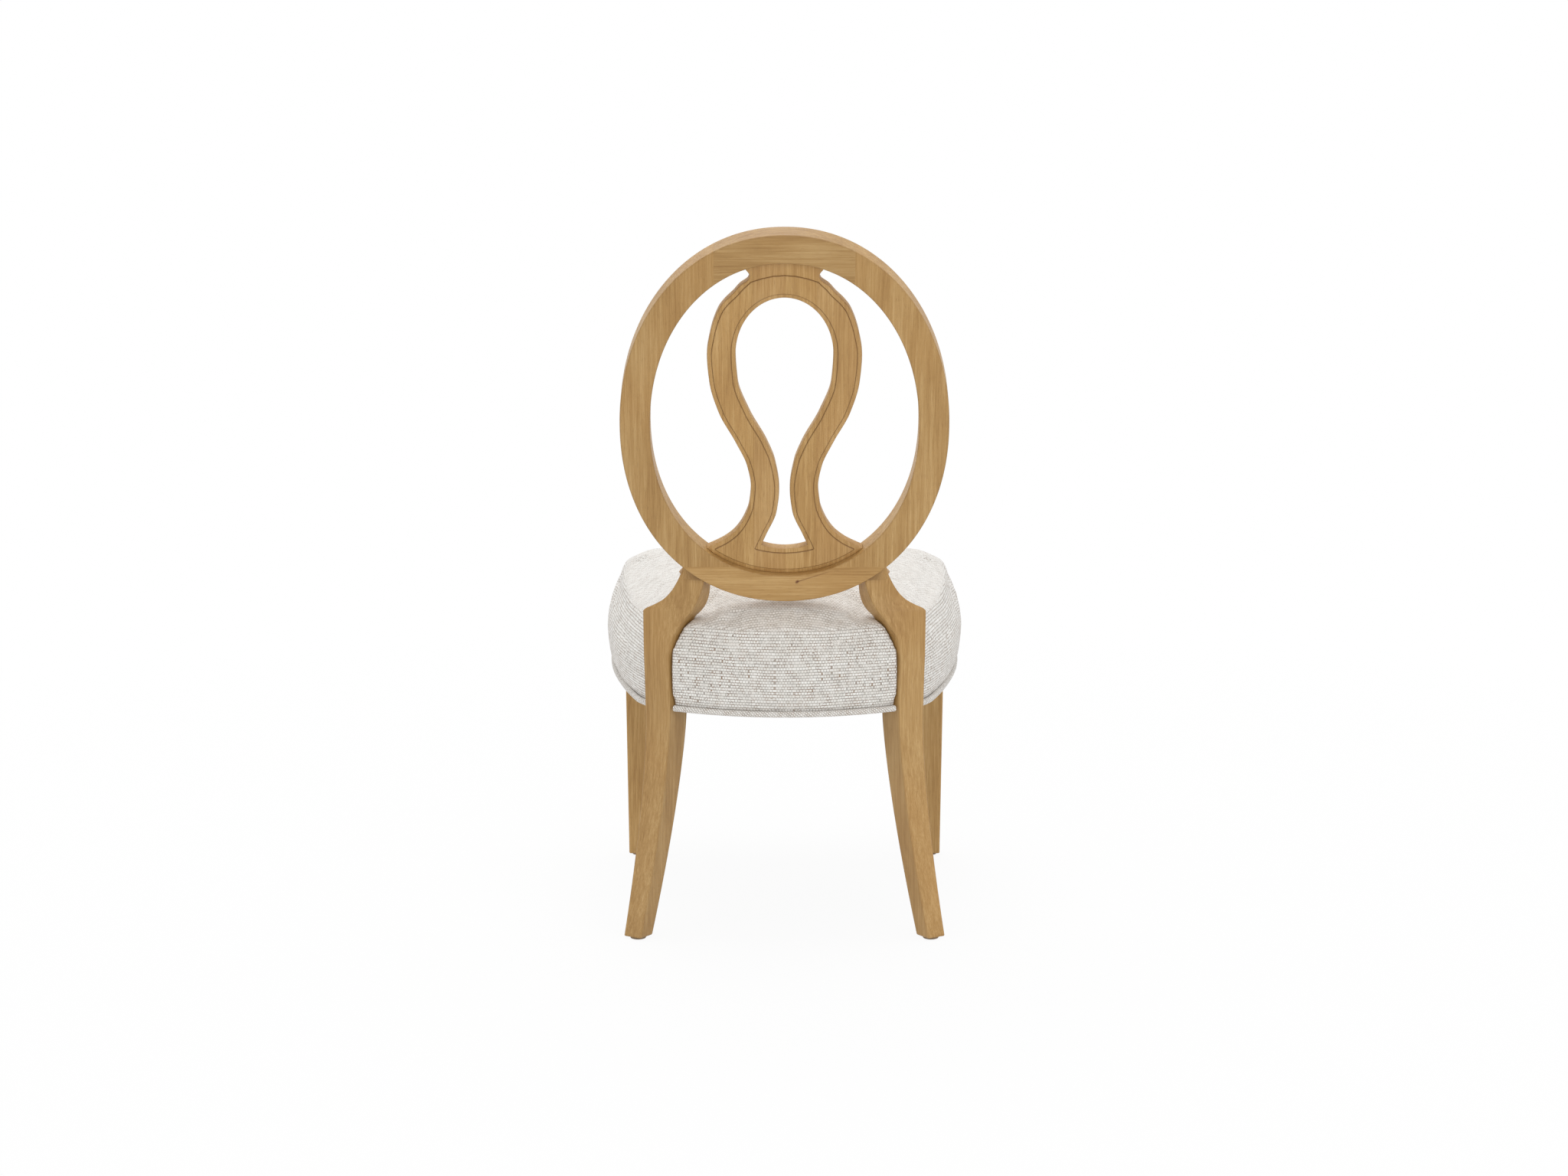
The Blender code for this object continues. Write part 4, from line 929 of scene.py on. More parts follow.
NECK_INNER_BEND, NECK_FRONT_BEND = (0.4600, -0.0460), (0.4465, -0.0800)
NECK_OUTER_FRONT_Y = -0.0960


def leg_frame():
    """The rear leg's own directions in plan, on the +X side."""
    inward = np.array((-math.cos(LEG_TURN), math.sin(LEG_TURN)))
    backward = np.array((math.sin(LEG_TURN), math.cos(LEG_TURN)))
    return inward, backward


def post_corners(height):
    """Plan corners of the +X rear leg below its neck."""
    inward, backward = leg_frame()
    drop = max(0.0, min(1.0, (SEAT_BOTTOM - height) / SEAT_BOTTOM))
    size = REAR_LEG_SIZE - (REAR_LEG_SIZE - REAR_FOOT_SIZE) * drop
    trim = (REAR_LEG_SIZE - size) / 2
    below = max(0.0, FLARE_HEIGHT - height) / FLARE_HEIGHT
    above = max(0.0, height - FLARE_HEIGHT) / (LEAN_HEIGHT - FLARE_HEIGHT)
    sweep = FLARE * below ** FLARE_CURVE + LEAN * above ** FLARE_CURVE
    origin = np.array((LEG_CORNER_X, LEG_CORNER_Y)) - inward * trim + backward * sweep
    return np.array([origin - inward * size, origin,
                     origin - backward * size, origin - (inward + backward) * size])


def neck_edges():
    """For each of the neck's four edges: knots of height to x, and of height to y."""
    start = post_corners(POST_TOP)
    top = NECK_OUTER_BACK[-1][0]

    def to_ring(height, recess):
        back = RING_CENTRE_Y - (RING_CENTRE_Z - height) * math.tan(RAKE)
        return height, back - recess / math.cos(RAKE)

    depths = (
        [(LEAN_HEIGHT, post_corners(LEAN_HEIGHT)[0][1]),
         to_ring(NECK_OUTER_MEETS, NECK_OUTER_RECESS), to_ring(top, NECK_OUTER_RECESS)],
        [NECK_INNER_BEND, to_ring(NECK_MEETS_RING, NECK_INNER_RECESS),
         to_ring(top, NECK_INNER_RECESS)],
        [NECK_FRONT_BEND, to_ring(NECK_MEETS_RING, NECK_FRONT_RECESS),
         to_ring(top, NECK_FRONT_RECESS)],
        [(LEAN_HEIGHT, NECK_OUTER_FRONT_Y), to_ring(NECK_MEETS_RING, NECK_FRONT_RECESS),
         to_ring(top, NECK_FRONT_RECESS)],
    )
    widths = (NECK_OUTER_BACK, NECK_INNER_BACK, NECK_INNER_FRONT, NECK_OUTER_FRONT)
    edges = []
    for corner, xs, ys in zip(start, widths, depths):
        edges.append(([(POST_TOP, corner[0])] + list(xs), [(POST_TOP, corner[1])] + list(ys)))
    return edges


def leg_glaze_and_painted_shade(near, height):
    """Glaze lies along a leg's arrises, and painted shade along its foot's lowest edge, where it
    sits on the glide.
    """
    return np.maximum(near * 0.22, 0.45 if height < GLIDE_HEIGHT + 0.001 else 0.0)


def leg_section(height, edges):
    """Plan corners of the +X rear leg at any height."""
    if height <= POST_TOP:
        return post_corners(height)
    return np.array([(smooth_knots(xs, height)[0], smooth_knots(ys, height)[0])
                     for xs, ys in edges])


def cut_by(target, cutter):
    """The target's mesh less the cutter."""
    return modified(target, "BOOLEAN", operation="DIFFERENCE", solver="EXACT", object=cutter)


def helper_object(name, mesh):
    """An object that is dropped once its mesh has been used."""
    made = bpy.data.objects.new(name, mesh)
    bpy.context.scene.collection.objects.link(made)
    return made


def dropped(*objects):
    """Removes helper objects."""
    for item in objects:
        bpy.data.objects.remove(item, do_unlink=True)


def ring_envelope():
    """A solid as wide as the ring's outer edge, which trims the necks."""
    t = 2 * math.pi * (np.arange(240) + 0.5) / 240
    x, z = oval(t, -0.00005)
    far = 0.1
    rings = [lean(np.stack([x, np.full_like(x, depth), z], -1)) for depth in (far, -far)]
    return loft("ring_envelope", rings, np.zeros((2, 240, 3)))


# Painted shade on each rear leg: the left one, which faces away from the key light, is darkened
# more
REAR_LEG_PAINTED_SHADE = {"left": 0.87, "right": 0.94}


class CHAIR_OT_rear_legs(bpy.types.Operator):
    """Shape the two sabre rear legs and their necks"""
    bl_idname = "chair.rear_legs"
    bl_label = "Rear Legs"

    def execute(self, context):
        arris = context.scene.chair_sizes.arris
        inward, backward = leg_frame()
        shoulder = NECK_OUTER_BACK[0][0]
        edges = neck_edges()
        foot = GLIDE_HEIGHT
        heights = np.concatenate([
            [foot, foot + 0.0006, foot + 0.0012], np.linspace(foot + 0.004, POST_TOP, 56),
            np.linspace(POST_TOP, shoulder, 26)[1:], [shoulder + 0.0006],
            np.linspace(shoulder, NECK_OUTER_BACK[-1][0], 60)[1:]])
        envelope = helper_object("ring_envelope", ring_envelope())
        for side, sign in (("left", 1), ("right", -1)):
            rings, grain, glaze = [], [], []
            for height in heights:
                corners = leg_section(height, edges)
                plan, near = round_polygon(corners, arris)
                if height < foot + 0.0012:
                    middle = corners.mean(axis=0)
                    ease = 1 - (0.0012 - (height - foot)) / 0.03
                    plan = middle + (plan - middle) * ease
                rings.append(np.stack(
                    [sign * plan[:, 0], plan[:, 1], np.full(len(plan), height)], -1))
                grain.append(np.stack(
                    [np.full(len(plan), height + sign * 0.9), plan @ inward + sign * 0.3,
                     plan @ backward], -1))
                glaze.append(leg_glaze_and_painted_shade(near, height))
            whole = helper_object("leg", loft("leg", rings, grain, glaze))
            mesh = cut_by(whole, envelope)
            mesh.name = f"rear_leg_{side}"
            dropped(whole)
            # Painted shadow where the neck meets the ring.
            self.paint_joint_shadow(mesh)
            mesh.set_sharp_from_angle(angle=math.radians(32))
            # The tone paints shade on this leg.
            paint = oak_paint(f"oak_rear_leg_{side}", from_grain, warmth=0.08,
                              tone=REAR_LEG_PAINTED_SHADE[side])
            make_piece(f"sabre_leg_{side}", mesh, paint, f"rear_leg_{side}")
        dropped(envelope)
        return {"FINISHED"}

    @staticmethod
    def paint_joint_shadow(mesh):
        """Painted shadow: the neck is darkened where it meets the ring, as the step between them
        would shade it.
        """
        points = points_of(mesh)
        y = points[:, 1] + MIDDLE_Y - RING_CENTRE_Y
        z = points[:, 2] - RING_CENTRE_Z
        up = math.sin(RAKE) * y + math.cos(RAKE) * z
        flat = np.stack([points[:, 0], up], 1)
        high = points[:, 2] > LEAN_HEIGHT
        inside = inside_oval(flat, -0.0012)
        near, touching = high & ~inside, high & inside
        glaze = numbers_of(mesh, "glaze")
        glaze[touching] = 1.0
        beside = near & inside_oval(flat, -0.004)
        glaze[beside] = np.maximum(glaze[beside], 0.25)
        mesh.attributes["glaze"].data.foreach_set("value", glaze)


# Painted light on the front legs: the left one, which the seat shades, is lightened
FRONT_LEG_PAINTED_LIGHT = {"left": 1.10, "right": 1.0}


class CHAIR_OT_front_legs(bpy.types.Operator):
    """Shape the two square tapered front legs"""
    bl_idname = "chair.front_legs"
    bl_label = "Front Legs"

    def execute(self, context):
        arris = context.scene.chair_sizes.arris
        centre_x = FRONT_LEG_OUTER - FRONT_LEG_SIZE / 2
        centre_y = FRONT_LEG_REAR - FRONT_LEG_SIZE / 2
        foot, top = GLIDE_HEIGHT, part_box("front_leg_left")[1].z
        heights = [foot, foot + 0.0006, foot + 0.0014, 0.02, 0.1, 0.2, SEAT_BOTTOM - 0.004,
                   SEAT_BOTTOM, top]
        for side, sign in (("left", 1), ("right", -1)):
            rings, grain, glaze = [], [], []
            for height in heights:
                share = min(1.0, (height - foot) / (SEAT_BOTTOM - foot))
                half = (FRONT_FOOT_SIZE + (FRONT_LEG_SIZE - FRONT_FOOT_SIZE) * share) / 2
                half -= max(0.0, 0.0012 - (height - foot)) * 0.8
                square = [(-half, -half), (half, -half), (half, half), (-half, half)]
                plan, near = round_polygon(square, arris)
                rings.append(np.stack([sign * (plan[:, 0] + centre_x), plan[:, 1] + centre_y,
                                       np.full(len(plan), height)], -1))
                grain.append(np.stack([np.full(len(plan), height + 2.2 + sign * 0.4),
                                       plan[:, 0] + sign * 0.21, plan[:, 1]], -1))
                glaze.append(leg_glaze_and_painted_shade(near, height))
            mesh = loft(f"front_leg_{side}", rings, grain, glaze)
            # The tone paints light on this leg.
            paint = oak_paint(f"oak_front_leg_{side}", from_grain, warmth=0.05,
                              tone=FRONT_LEG_PAINTED_LIGHT[side])
            make_piece(f"tapered_leg_{side}", mesh, paint, f"front_leg_{side}")
        return {"FINISHED"}


class CHAIR_OT_glides(bpy.types.Operator):
    """Turn the nylon glides under the feet"""
    bl_idname = "chair.glides"
    bl_label = "Glides"

    def execute(self, context):
        paint = speckled_paint("nylon", srgb(146, 120, 88), srgb(132, 107, 76), 900.0, 0.5)
        r = GLIDE_RADIUS
        profile = [(0.0, 0.0), (0.0, r - 0.0016), (0.0004, r - 0.0006), (0.0012, r),
                   (GLIDE_HEIGHT - 0.0009, r), (GLIDE_HEIGHT - 0.0004, r - 0.0005),
                   (GLIDE_HEIGHT - 0.0002, r - 0.0012), (GLIDE_HEIGHT - 0.0002, 0.002),
                   (0.0178, 0.002), (0.018, 0.0)]
        for node in ("glide_rear_left", "glide_rear_right", "glide_front_left",
                     "glide_front_right"):
            low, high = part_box(node)
            centre = (low + high) / 2
            turn = np.linspace(0, 2 * math.pi, 49)[:-1]
            rings = []
            for height, radius in profile:
                radius = max(radius, 0.00002)
                rings.append(np.stack([
                    centre.x + radius * np.cos(turn), centre.y + MIDDLE_Y + radius * np.sin(turn),
                    np.full(48, height)], -1))
            mesh = loft(node.replace("glide", "foot_glide"), rings, np.zeros((len(rings), 48, 3)))
            make_piece(mesh.name, mesh, paint, node)
        return {"FINISHED"}


# The seat

def bowed_edge(start, end, bow, steps):
    """Points on a parabola that bows out between two points."""
    start, end = np.array(start), np.array(end)
    along = end - start
    normal = np.array([along[1], -along[0]]) / np.hypot(*along)
    t = np.linspace(0, 1, steps + 1)[:, None]
    return start + along * t + normal * bow * 4 * t * (1 - t)


def seat_plan(offset=0.0, steps=40, turn=12):
    """The seat's outline, counter-clockwise from above, moved out by an offset."""
    (rx, ry), (fx, fy) = REAR_CORNER, FRONT_CORNER
    corners = [(rx, ry), (-rx, ry), (-fx, fy), (fx, fy)]
    bows = (REAR_BOW, SIDE_BOW, FRONT_BOW, SIDE_BOW)
    eases = (REAR_EASE, REAR_EASE, FRONT_EASE, FRONT_EASE)
    edges = [bowed_edge(corners[k], corners[(k + 1) % 4], bows[k], 64) for k in range(4)]

    points = []
    for k in range(4):
        edge, after = edges[k], edges[(k + 1) % 4]
        ease = eases[(k + 1) % 4]
        length = np.hypot(*np.diff(edge, axis=0).T).sum()
        run = points_at(edge, np.linspace(eases[k], length - ease, steps + 1))
        begin, finish = run[-1], points_at(after, np.array([ease]))[0]
        corner = np.array(corners[(k + 1) % 4])
        t = (np.arange(1, turn) / turn)[:, None]
        points += [run, (1 - t) ** 2 * begin + 2 * t * (1 - t) * corner + t * t * finish]
    points = np.concatenate(points)
    ahead = np.roll(points, -1, axis=0) - np.roll(points, 1, axis=0)
    ahead /= np.hypot(ahead[:, 0], ahead[:, 1])[:, None]
    return points + np.stack([ahead[:, 1], -ahead[:, 0]], 1) * offset


HEM = 0.0004                # how far the cover's lower edge lies inside the plan
TOP_SHARES = (0.985, 0.965, 0.94, 0.91, 0.87, 0.82, 0.75, 0.66, 0.55, 0.42, 0.28, 0.12)


def cushion_rings(inset):
    """The filled seat's skin from the middle of its underside to the middle of its top."""
    edge_round = 0.019
    top = SEAT_EDGE - inset
    start = SEAT_BOTTOM + WELT_RISE
    rings = []
    plan = seat_plan()
    ahead = np.clip((-0.12 - plan[:, 1]) / 0.12, 0.0, 1.0)

    def ring(plan, height):
        rings.append(np.column_stack([plan, np.full(len(plan), height)]))

    def outward(offset):
        """The plan moved out by a distance, more at the sides and front than at the rear."""
        still = seat_plan(0.0)
        return still + (seat_plan(0.001) - still) * 1000 * np.asarray(offset)[:, None]

    # The underside rises past the turned-in hem to clear the dust cover
    ring(seat_plan(-0.030), DUST_COVER_BOTTOM + 0.0050)
    ring(seat_plan(-0.013), DUST_COVER_BOTTOM + 0.0045)
    ring(seat_plan(-0.009), SEAT_BOTTOM - 0.0008)
    ring(seat_plan(-HEM), SEAT_BOTTOM - 0.0008)
    for t in np.linspace(0, 1, 12):
        swell = SIDE_BULGE * math.sin(math.pi * t) ** 0.7
        foot = FOOT_FILL * max(0.0, 1 - 3 * t)
        drawn_in = HEM + (inset - HEM) * min(1.0, 4 * t)
        ring(outward(swell - drawn_in + foot * (0.4 + 0.6 * ahead)),
             start + (top - edge_round - start) * t)
    for turn in np.linspace(0, math.pi / 2, 9)[1:]:
        out = edge_round * (1 - math.cos(turn))
        ring(seat_plan(-inset - out), top - edge_round + edge_round * math.sin(turn))
    rim = seat_plan(-inset - edge_round)
    middle = np.array([0.0, (rim[:, 1].max() + rim[:, 1].min()) / 2])
    for share in TOP_SHARES:
        valley = 0.0014 * math.exp(-((1 - share - 0.045) / 0.03) ** 2) * (1 - ahead)
        ring(middle + (rim - middle) * share,
             top + SEAT_CROWN * (1 - share ** CROWN_POWER) - valley)
    # The front is filled a little higher than the rear
    for points in rings:
        front = np.clip((-0.25 - points[:, 1]) / 0.25, 0.0, 1.0)
        height = np.clip((points[:, 2] - start) / (top - start), 0.0, 1.0)
        corner = np.clip(np.abs(points[:, 0]) / 0.22, 0.0, 1.0) ** 3
        points[:, 2] += (FRONT_LIFT + CORNER_LIFT * corner) * front * height ** 2
    return rings


def leg_column(grow, top=0.5):
    """A prism round the +X rear leg."""
    edges = neck_edges()
    rings = []
    for height in np.concatenate([[SEAT_BOTTOM - 0.03], np.linspace(0.38, top, 30)]):
        corners = leg_section(height, edges)
        middle = corners.mean(axis=0)
        out = corners - middle
        out *= 1 + grow / (np.hypot(out[:, 0], out[:, 1]) / math.sqrt(2))[:, None]
        rings.append(np.column_stack([middle + out, np.full(4, height)]))
    return rings


def nearest_along(points, path, gone):
    """How far along a closed path each point lies."""
    result = np.empty(len(points))
    for k in range(0, len(points), 4000):
        part = points[k:k + 4000]
        gap = ((part[:, None, :] - path[None, :, :]) ** 2).sum(-1)
        result[k:k + 4000] = gone[np.argmin(gap, axis=1)]
    return result


SEAT_CLOTH = {
    "quality": 6, "mass": 0.3, "use_pressure": True, "uniform_pressure_force": 4.0,
    "tension_stiffness": 20, "compression_stiffness": 15, "shear_stiffness": 8,
    "bending_stiffness": 1.0, "vertex_group_mass": "held",
}
FILL_FRAMES = 20
LEG_ROOM = 0.0012           # between the cover and a rear leg
TOP_SLOPE = 0.62            # a face that looks up more than this is on the top


class CHAIR_OT_seat(bpy.types.Operator):
    """Fill the woven seat cover and let it swell"""
    bl_idname = "chair.seat"
    bl_label = "Seat"

    def execute(self, context):
        sizes = context.scene.chair_sizes
        inset = 0.0035
        rings = cushion_rings(inset)
        around = len(rings[0])
        mesh = loft("cushion", rings, np.zeros((len(rings), around, 3)))
        body = helper_object("cushion", mesh)
        for sign in (1, -1):
            column = np.array(leg_column(LEG_ROOM)) * (sign, 1, 1)
            cutter = helper_object("column", loft("column", column, np.zeros(column.shape)))
            body.data = cut_by(body, cutter)
            dropped(cutter)
        for name in ("grain", "glaze"):
            body.data.attributes.remove(body.data.attributes[name])
        body.data = modified(body, "REMESH", mode="VOXEL", voxel_size=sizes.voxel)
        self.soften(body.data)
        self.fill(context, body, sizes.puff)
        self.clear_legs(body.data)
        body.data = modified(body, "SUBSURF", levels=1, render_levels=1)
        self.clear_legs(body.data)
        self.map_weave(body.data)
        body.data.shade_smooth()
        body.name = "woven_seat"
        mesh = body.data
        mesh.name = "woven_seat"
        bpy.data.objects.remove(body)
        padding = [f"edge_padding_{side}" for side in ("rear", "left", "right", "front")]
        seat = make_piece("woven_seat", mesh, cloth_paint("woven_cloth"), "seat_cover",
                          "seat_foam", *padding)
        return {"FINISHED"}

    @staticmethod
    def soften(mesh):
        """Moves each point halfway to the middle of its neighbours."""
        made = bmesh.new()
        made.from_mesh(mesh)
        bmesh.ops.smooth_vert(made, verts=made.verts, factor=0.5, use_axis_x=True,
                              use_axis_y=True, use_axis_z=True)
        made.to_mesh(mesh)
        made.free()

    @staticmethod
    def fill(context, body, reach):
        """Blows the cover up a little as cloth, and caps how far it travels."""
        start = points_of(body.data)
        pinned = body.vertex_groups.new(name="held")
        low = [i for i, p in enumerate(start) if p[2] < SEAT_BOTTOM + 0.012]
        pinned.add(low, 1.0, "REPLACE")
        cloth = body.modifiers.new("cloth", "CLOTH")
        for key, value in SEAT_CLOTH.items():
            setattr(cloth.settings, key, value)
        cloth.settings.effector_weights.gravity = 0.0
        cloth.collision_settings.use_collision = False
        cloth.point_cache.frame_start, cloth.point_cache.frame_end = 1, FILL_FRAMES
        scene = context.scene
        for number in range(1, FILL_FRAMES + 1):
            scene.frame_set(number)
        graph = context.evaluated_depsgraph_get()
        end = points_of(body.evaluated_get(graph).to_mesh())
        body.evaluated_get(graph).to_mesh_clear()
        body.modifiers.clear()
        body.vertex_groups.clear()
        scene.frame_set(1)
        travel = end - start
        size = np.linalg.norm(travel, axis=1)
        # The cap falls to nothing at the welt and at the rear legs
        cap = reach * np.clip((start[:, 2] - SEAT_BOTTOM - 0.012) / 0.03, 0.0, 1.0)
        post = post_corners(SEAT_EDGE).mean(axis=0)
        away = np.hypot(np.abs(start[:, 0]) - post[0], start[:, 1] + MIDDLE_Y - post[1])
        cap *= np.clip((away - 0.030) / 0.030, 0.0, 1.0)
        scale = np.minimum(1.0, cap / np.maximum(size, 1e-9))
        moved = start + travel * scale[:, None]
        body.data.vertices.foreach_set("co", moved.ravel())
        body.data.update()

    @staticmethod
    def clear_legs(mesh):
        """Keeps the cover a hair outside the rear legs."""
        edges = neck_edges()
        points = points_of(mesh)
        points[:, 1] += MIDDLE_Y
        near = np.nonzero((np.abs(points[:, 0]) > 0.09) & (np.abs(points[:, 0]) < 0.215)
                          & (points[:, 1] > -0.13))[0]
        sections = {}
        for i in near:
            x, y, z = points[i]
            key = round(float(z), 3)
            if key not in sections:
                sections[key] = leg_section(key, edges)
            corners = sections[key]
            p = np.array([abs(x), y])
            best, move = -1e9, None
            for k in range(4):
                a, b = corners[k], corners[(k + 1) % 4]
                along = (b - a) / np.linalg.norm(b - a)
                out = np.array([along[1], -along[0]])
                if (corners.mean(axis=0) - a) @ out > 0:
                    out = -out
                distance = (p - a) @ out
                if distance > best:
                    best, move = distance, out
            if best < LEG_ROOM:
                p = p + move * (LEG_ROOM - best)
                points[i, 0], points[i, 1] = math.copysign(p[0], x), p[1]
        points[:, 1] -= MIDDLE_Y
        mesh.vertices.foreach_set("co", points.ravel())
        mesh.update()

    @staticmethod
    def map_weave(mesh):
        """Lays the weave over the top, and round the sides."""
        path = seat_plan(0.0, 120, 30)
        step = np.hypot(*np.diff(np.vstack([path, path[:1]]), axis=0).T)
        gone = np.concatenate([[0], np.cumsum(step)[:-1]])
        rear = np.argmin(np.abs(path[:, 0]) + (path[:, 1] < -0.2) * 10)
        gone = gone - gone[rear]
        points = points_of(mesh)
        points[:, 1] += MIDDLE_Y
        normals = np.array([p.normal for p in mesh.polygons])
        run = -nearest_along(points[:, :2], path, gone)
        length = step.sum()
        flat = points[:, :2]
        side = np.stack([run, path[rear][1] + SEAT_EDGE - points[:, 2]], 1)
        layer = mesh.uv_layers.new(name="weave")
        loops = corners_of(mesh)
        totals = np.array([len(p.vertices) for p in mesh.polygons])
        owner = np.repeat(np.arange(len(totals)), totals)
        upward = normals[owner, 2] > TOP_SLOPE
        values = np.where(upward[:, None], flat[loops], side[loops])
        # Faces that straddle the path's end keep one side's count
        first = np.concatenate([[0], np.cumsum(totals)[:-1]])
        base = values[first, 0][owner]
        jump = ~upward & (np.abs(values[:, 0] - base) > length / 2)
        values[jump, 0] += np.copysign(length, base - values[:, 0])[jump]
        layer.data.foreach_set("uv", values.astype(np.float32).ravel())
        # Painted light: how far each point looks up, which lightens the cloth's top.
        tilt = np.array([v.normal.z for v in mesh.vertices])
        store(mesh, "lay", np.clip((tilt - 0.3) / 0.5, 0.0, 1.0), "FLOAT")


def node_group(name, inputs):
    """A Geometry Nodes group with its named inputs."""
    tree = bpy.data.node_groups.new(name, "GeometryNodeTree")
    tree.interface.new_socket("Geometry", in_out="INPUT", socket_type="NodeSocketGeometry")
    tree.interface.new_socket("Geometry", in_out="OUTPUT", socket_type="NodeSocketGeometry")
    for label, kind, default in inputs:
        socket = tree.interface.new_socket(label, in_out="INPUT", socket_type=kind)
        if default is not None:
            socket.default_value = default
    return tree, tree.nodes.new("NodeGroupInput"), tree.nodes.new("NodeGroupOutput")


def grown(holder, tree, values, name):
    """Runs a node tree on an object and gives back the plain mesh."""
    modifier = holder.modifiers.new(name, "NODES")
    modifier.node_group = tree
    for item in tree.interface.items_tree:
        if item.item_type == "SOCKET" and item.in_out == "INPUT" and item.name in values:
            modifier[item.identifier] = values[item.name]
    holder.update_tag()
    mesh = evaluated(holder)
    holder.modifiers.remove(modifier)
    mesh.name = name
    return mesh


def path_object(name, points):
    """A helper that holds an open line."""
    curve = bpy.data.curves.new(name, "CURVE")
    curve.dimensions = "3D"
    line = curve.splines.new("POLY")
    line.points.add(len(points) - 1)
    line.points.foreach_set("co", np.column_stack([points, np.ones(len(points))]).ravel())
    return helper_object(name, curve)


def finished(graph, geometry, material, end):
    """Makes instances real, shades them smooth and gives them their material."""
    for kind, inputs in (("RealizeInstances", {}), ("SetShadeSmooth", {}),
                         ("SetMaterial", {"Material": material})):
        geometry = graph.node(f"GeometryNode{kind}", inputs={"Geometry": geometry, **inputs})
        geometry = geometry.outputs["Geometry"]
    graph.feed(end.inputs["Geometry"], geometry)


def welt_tree():
    """A round cord along a path, which stores how far along and round it each point lies."""
    tree, start, end = node_group("piping", [
        ("Radius", "NodeSocketFloat", WELT_RADIUS), ("Sides", "NodeSocketInt", 20),
        ("Cloth", "NodeSocketMaterial", None)])
    graph = Graph(tree)

    def measured(curve, name):
        length = graph.node("GeometryNodeSplineParameter").outputs["Length"]
        return graph.node(
            "GeometryNodeStoreNamedAttribute", {"data_type": "FLOAT", "domain": "POINT"},
            {"Geometry": curve, "Name": name, "Value": length}).outputs["Geometry"]

    circle = graph.node("GeometryNodeCurvePrimitiveCircle", inputs={
        "Radius": start.outputs["Radius"], "Resolution": start.outputs["Sides"]})
    sweep = graph.node("GeometryNodeCurveToMesh", inputs={
        "Curve": measured(start.outputs["Geometry"], "run"),
        "Profile Curve": measured(circle.outputs["Curve"], "girth"), "Fill Caps": True})
    finished(graph, sweep.outputs["Mesh"], start.outputs["Cloth"], end)
    return tree


class CHAIR_OT_welt(bpy.types.Operator):
    """Run the piping round the seat's lower edge"""
    bl_idname = "chair.welt"
    bl_label = "Piping"

    def execute(self, context):
        level = SEAT_BOTTOM + WELT_RISE - GAP - WELT_RADIUS
        room = WELT_RADIUS + GAP
        plan = seat_plan(room, 120, 24)
        sides = np.clip((-0.12 - plan[:, 1]) / 0.12, 0.0, 1.0)[:, None]
        plan += (seat_plan(0.0, 120, 24) - plan) * sides * 0.45
        path = resample(closed_path(plan), 0.0005)
        corner = post_corners(level)
        inward, backward = leg_frame()
        size = np.linalg.norm(corner[0] - corner[1])
        mirrored = np.abs(path) * (1, 0) + path * (0, 1)
        across = (mirrored - corner[1]) @ np.stack([inward, backward], 1)
        clear = ~((across > -size - room) & (across < room)).all(axis=1)
        behind = (path[:, 1] > corner[2][1]) & (np.abs(path[:, 0]) < corner[1][0] + room)
        rear = path[clear & behind]
        rear = rear[np.argsort(rear[:, 0])]
        front = path[clear & ~behind]
        split = int(np.argmax(np.hypot(*(front - np.roll(front, 1, axis=0)).T)))
        front = np.roll(front, -split, axis=0)
        tree = welt_tree()
        paint = cloth_paint("piping_cloth", scale=0.8, welt=True)
        for name, run in (("rear", rear), ("front", front)):
            run = resample(run, 0.004)
            points = place(np.column_stack([run, np.full(len(run), level)]))
            holder = path_object("piping_path", points)
            mesh = grown(holder, tree, {"Radius": WELT_RADIUS, "Cloth": paint}, f"piping_{name}")
            dropped(holder)
            self.map_weave(mesh)
            make_piece(f"piping_{name}", mesh, paint, f"seat_welt_{name}", slot="fabric")
        return {"FINISHED"}

    @staticmethod
    def map_weave(mesh):
        run, girth = numbers_of(mesh, "run"), numbers_of(mesh, "girth")
        loops = corners_of(mesh)
        layer = mesh.uv_layers.new(name="weave")
        # The piping's cloth is cut on the bias, so its rows run round it at a slant
        slant = math.sqrt(0.5)
        u, v = (run + girth) * slant, (run - girth) * slant
        layer.data.foreach_set("uv", np.stack([u[loops], v[loops]], 1).ravel())


STAPLE_TURN, STAPLE_SEED = 0.35, 11


def staple_tree():
    """Wire crowns laid end to end along a path, each turned a little at random."""
    tree, start, end = node_group("staples", [
        ("Pitch", "NodeSocketFloat", 0.034), ("Width", "NodeSocketFloat", 0.010),
        ("Wire", "NodeSocketFloat", 0.0006), ("Steel", "NodeSocketMaterial", None)])
    graph = Graph(tree)
    spread = graph.node("GeometryNodeCurveToPoints", {"mode": "LENGTH"}, {
        "Curve": start.outputs["Geometry"], "Length": start.outputs["Pitch"]})
    bar = graph.node("GeometryNodeMeshCylinder", inputs={
        "Vertices": 8, "Radius": start.outputs["Wire"], "Depth": start.outputs["Width"]})
    jitter = graph.node("FunctionNodeRandomValue", {"data_type": "FLOAT_VECTOR"}, {
        0: (0.0, 0.0, -STAPLE_TURN), 1: (0.0, 0.0, STAPLE_TURN), "Seed": STAPLE_SEED})
    angle = graph.node("FunctionNodeEulerToRotation", inputs={0: jitter.outputs[0]})
    turned = graph.node("FunctionNodeRotateRotation", {"rotation_space": "GLOBAL"}, {
        "Rotation": spread.outputs["Rotation"], "Rotate By": angle.outputs[0]})
    laid = graph.node("GeometryNodeInstanceOnPoints", inputs={
        "Points": spread.outputs["Points"], "Instance": bar.outputs["Mesh"],
        "Rotation": turned.outputs["Rotation"]})
    finished(graph, laid.outputs["Instances"], start.outputs["Steel"], end)
    return tree


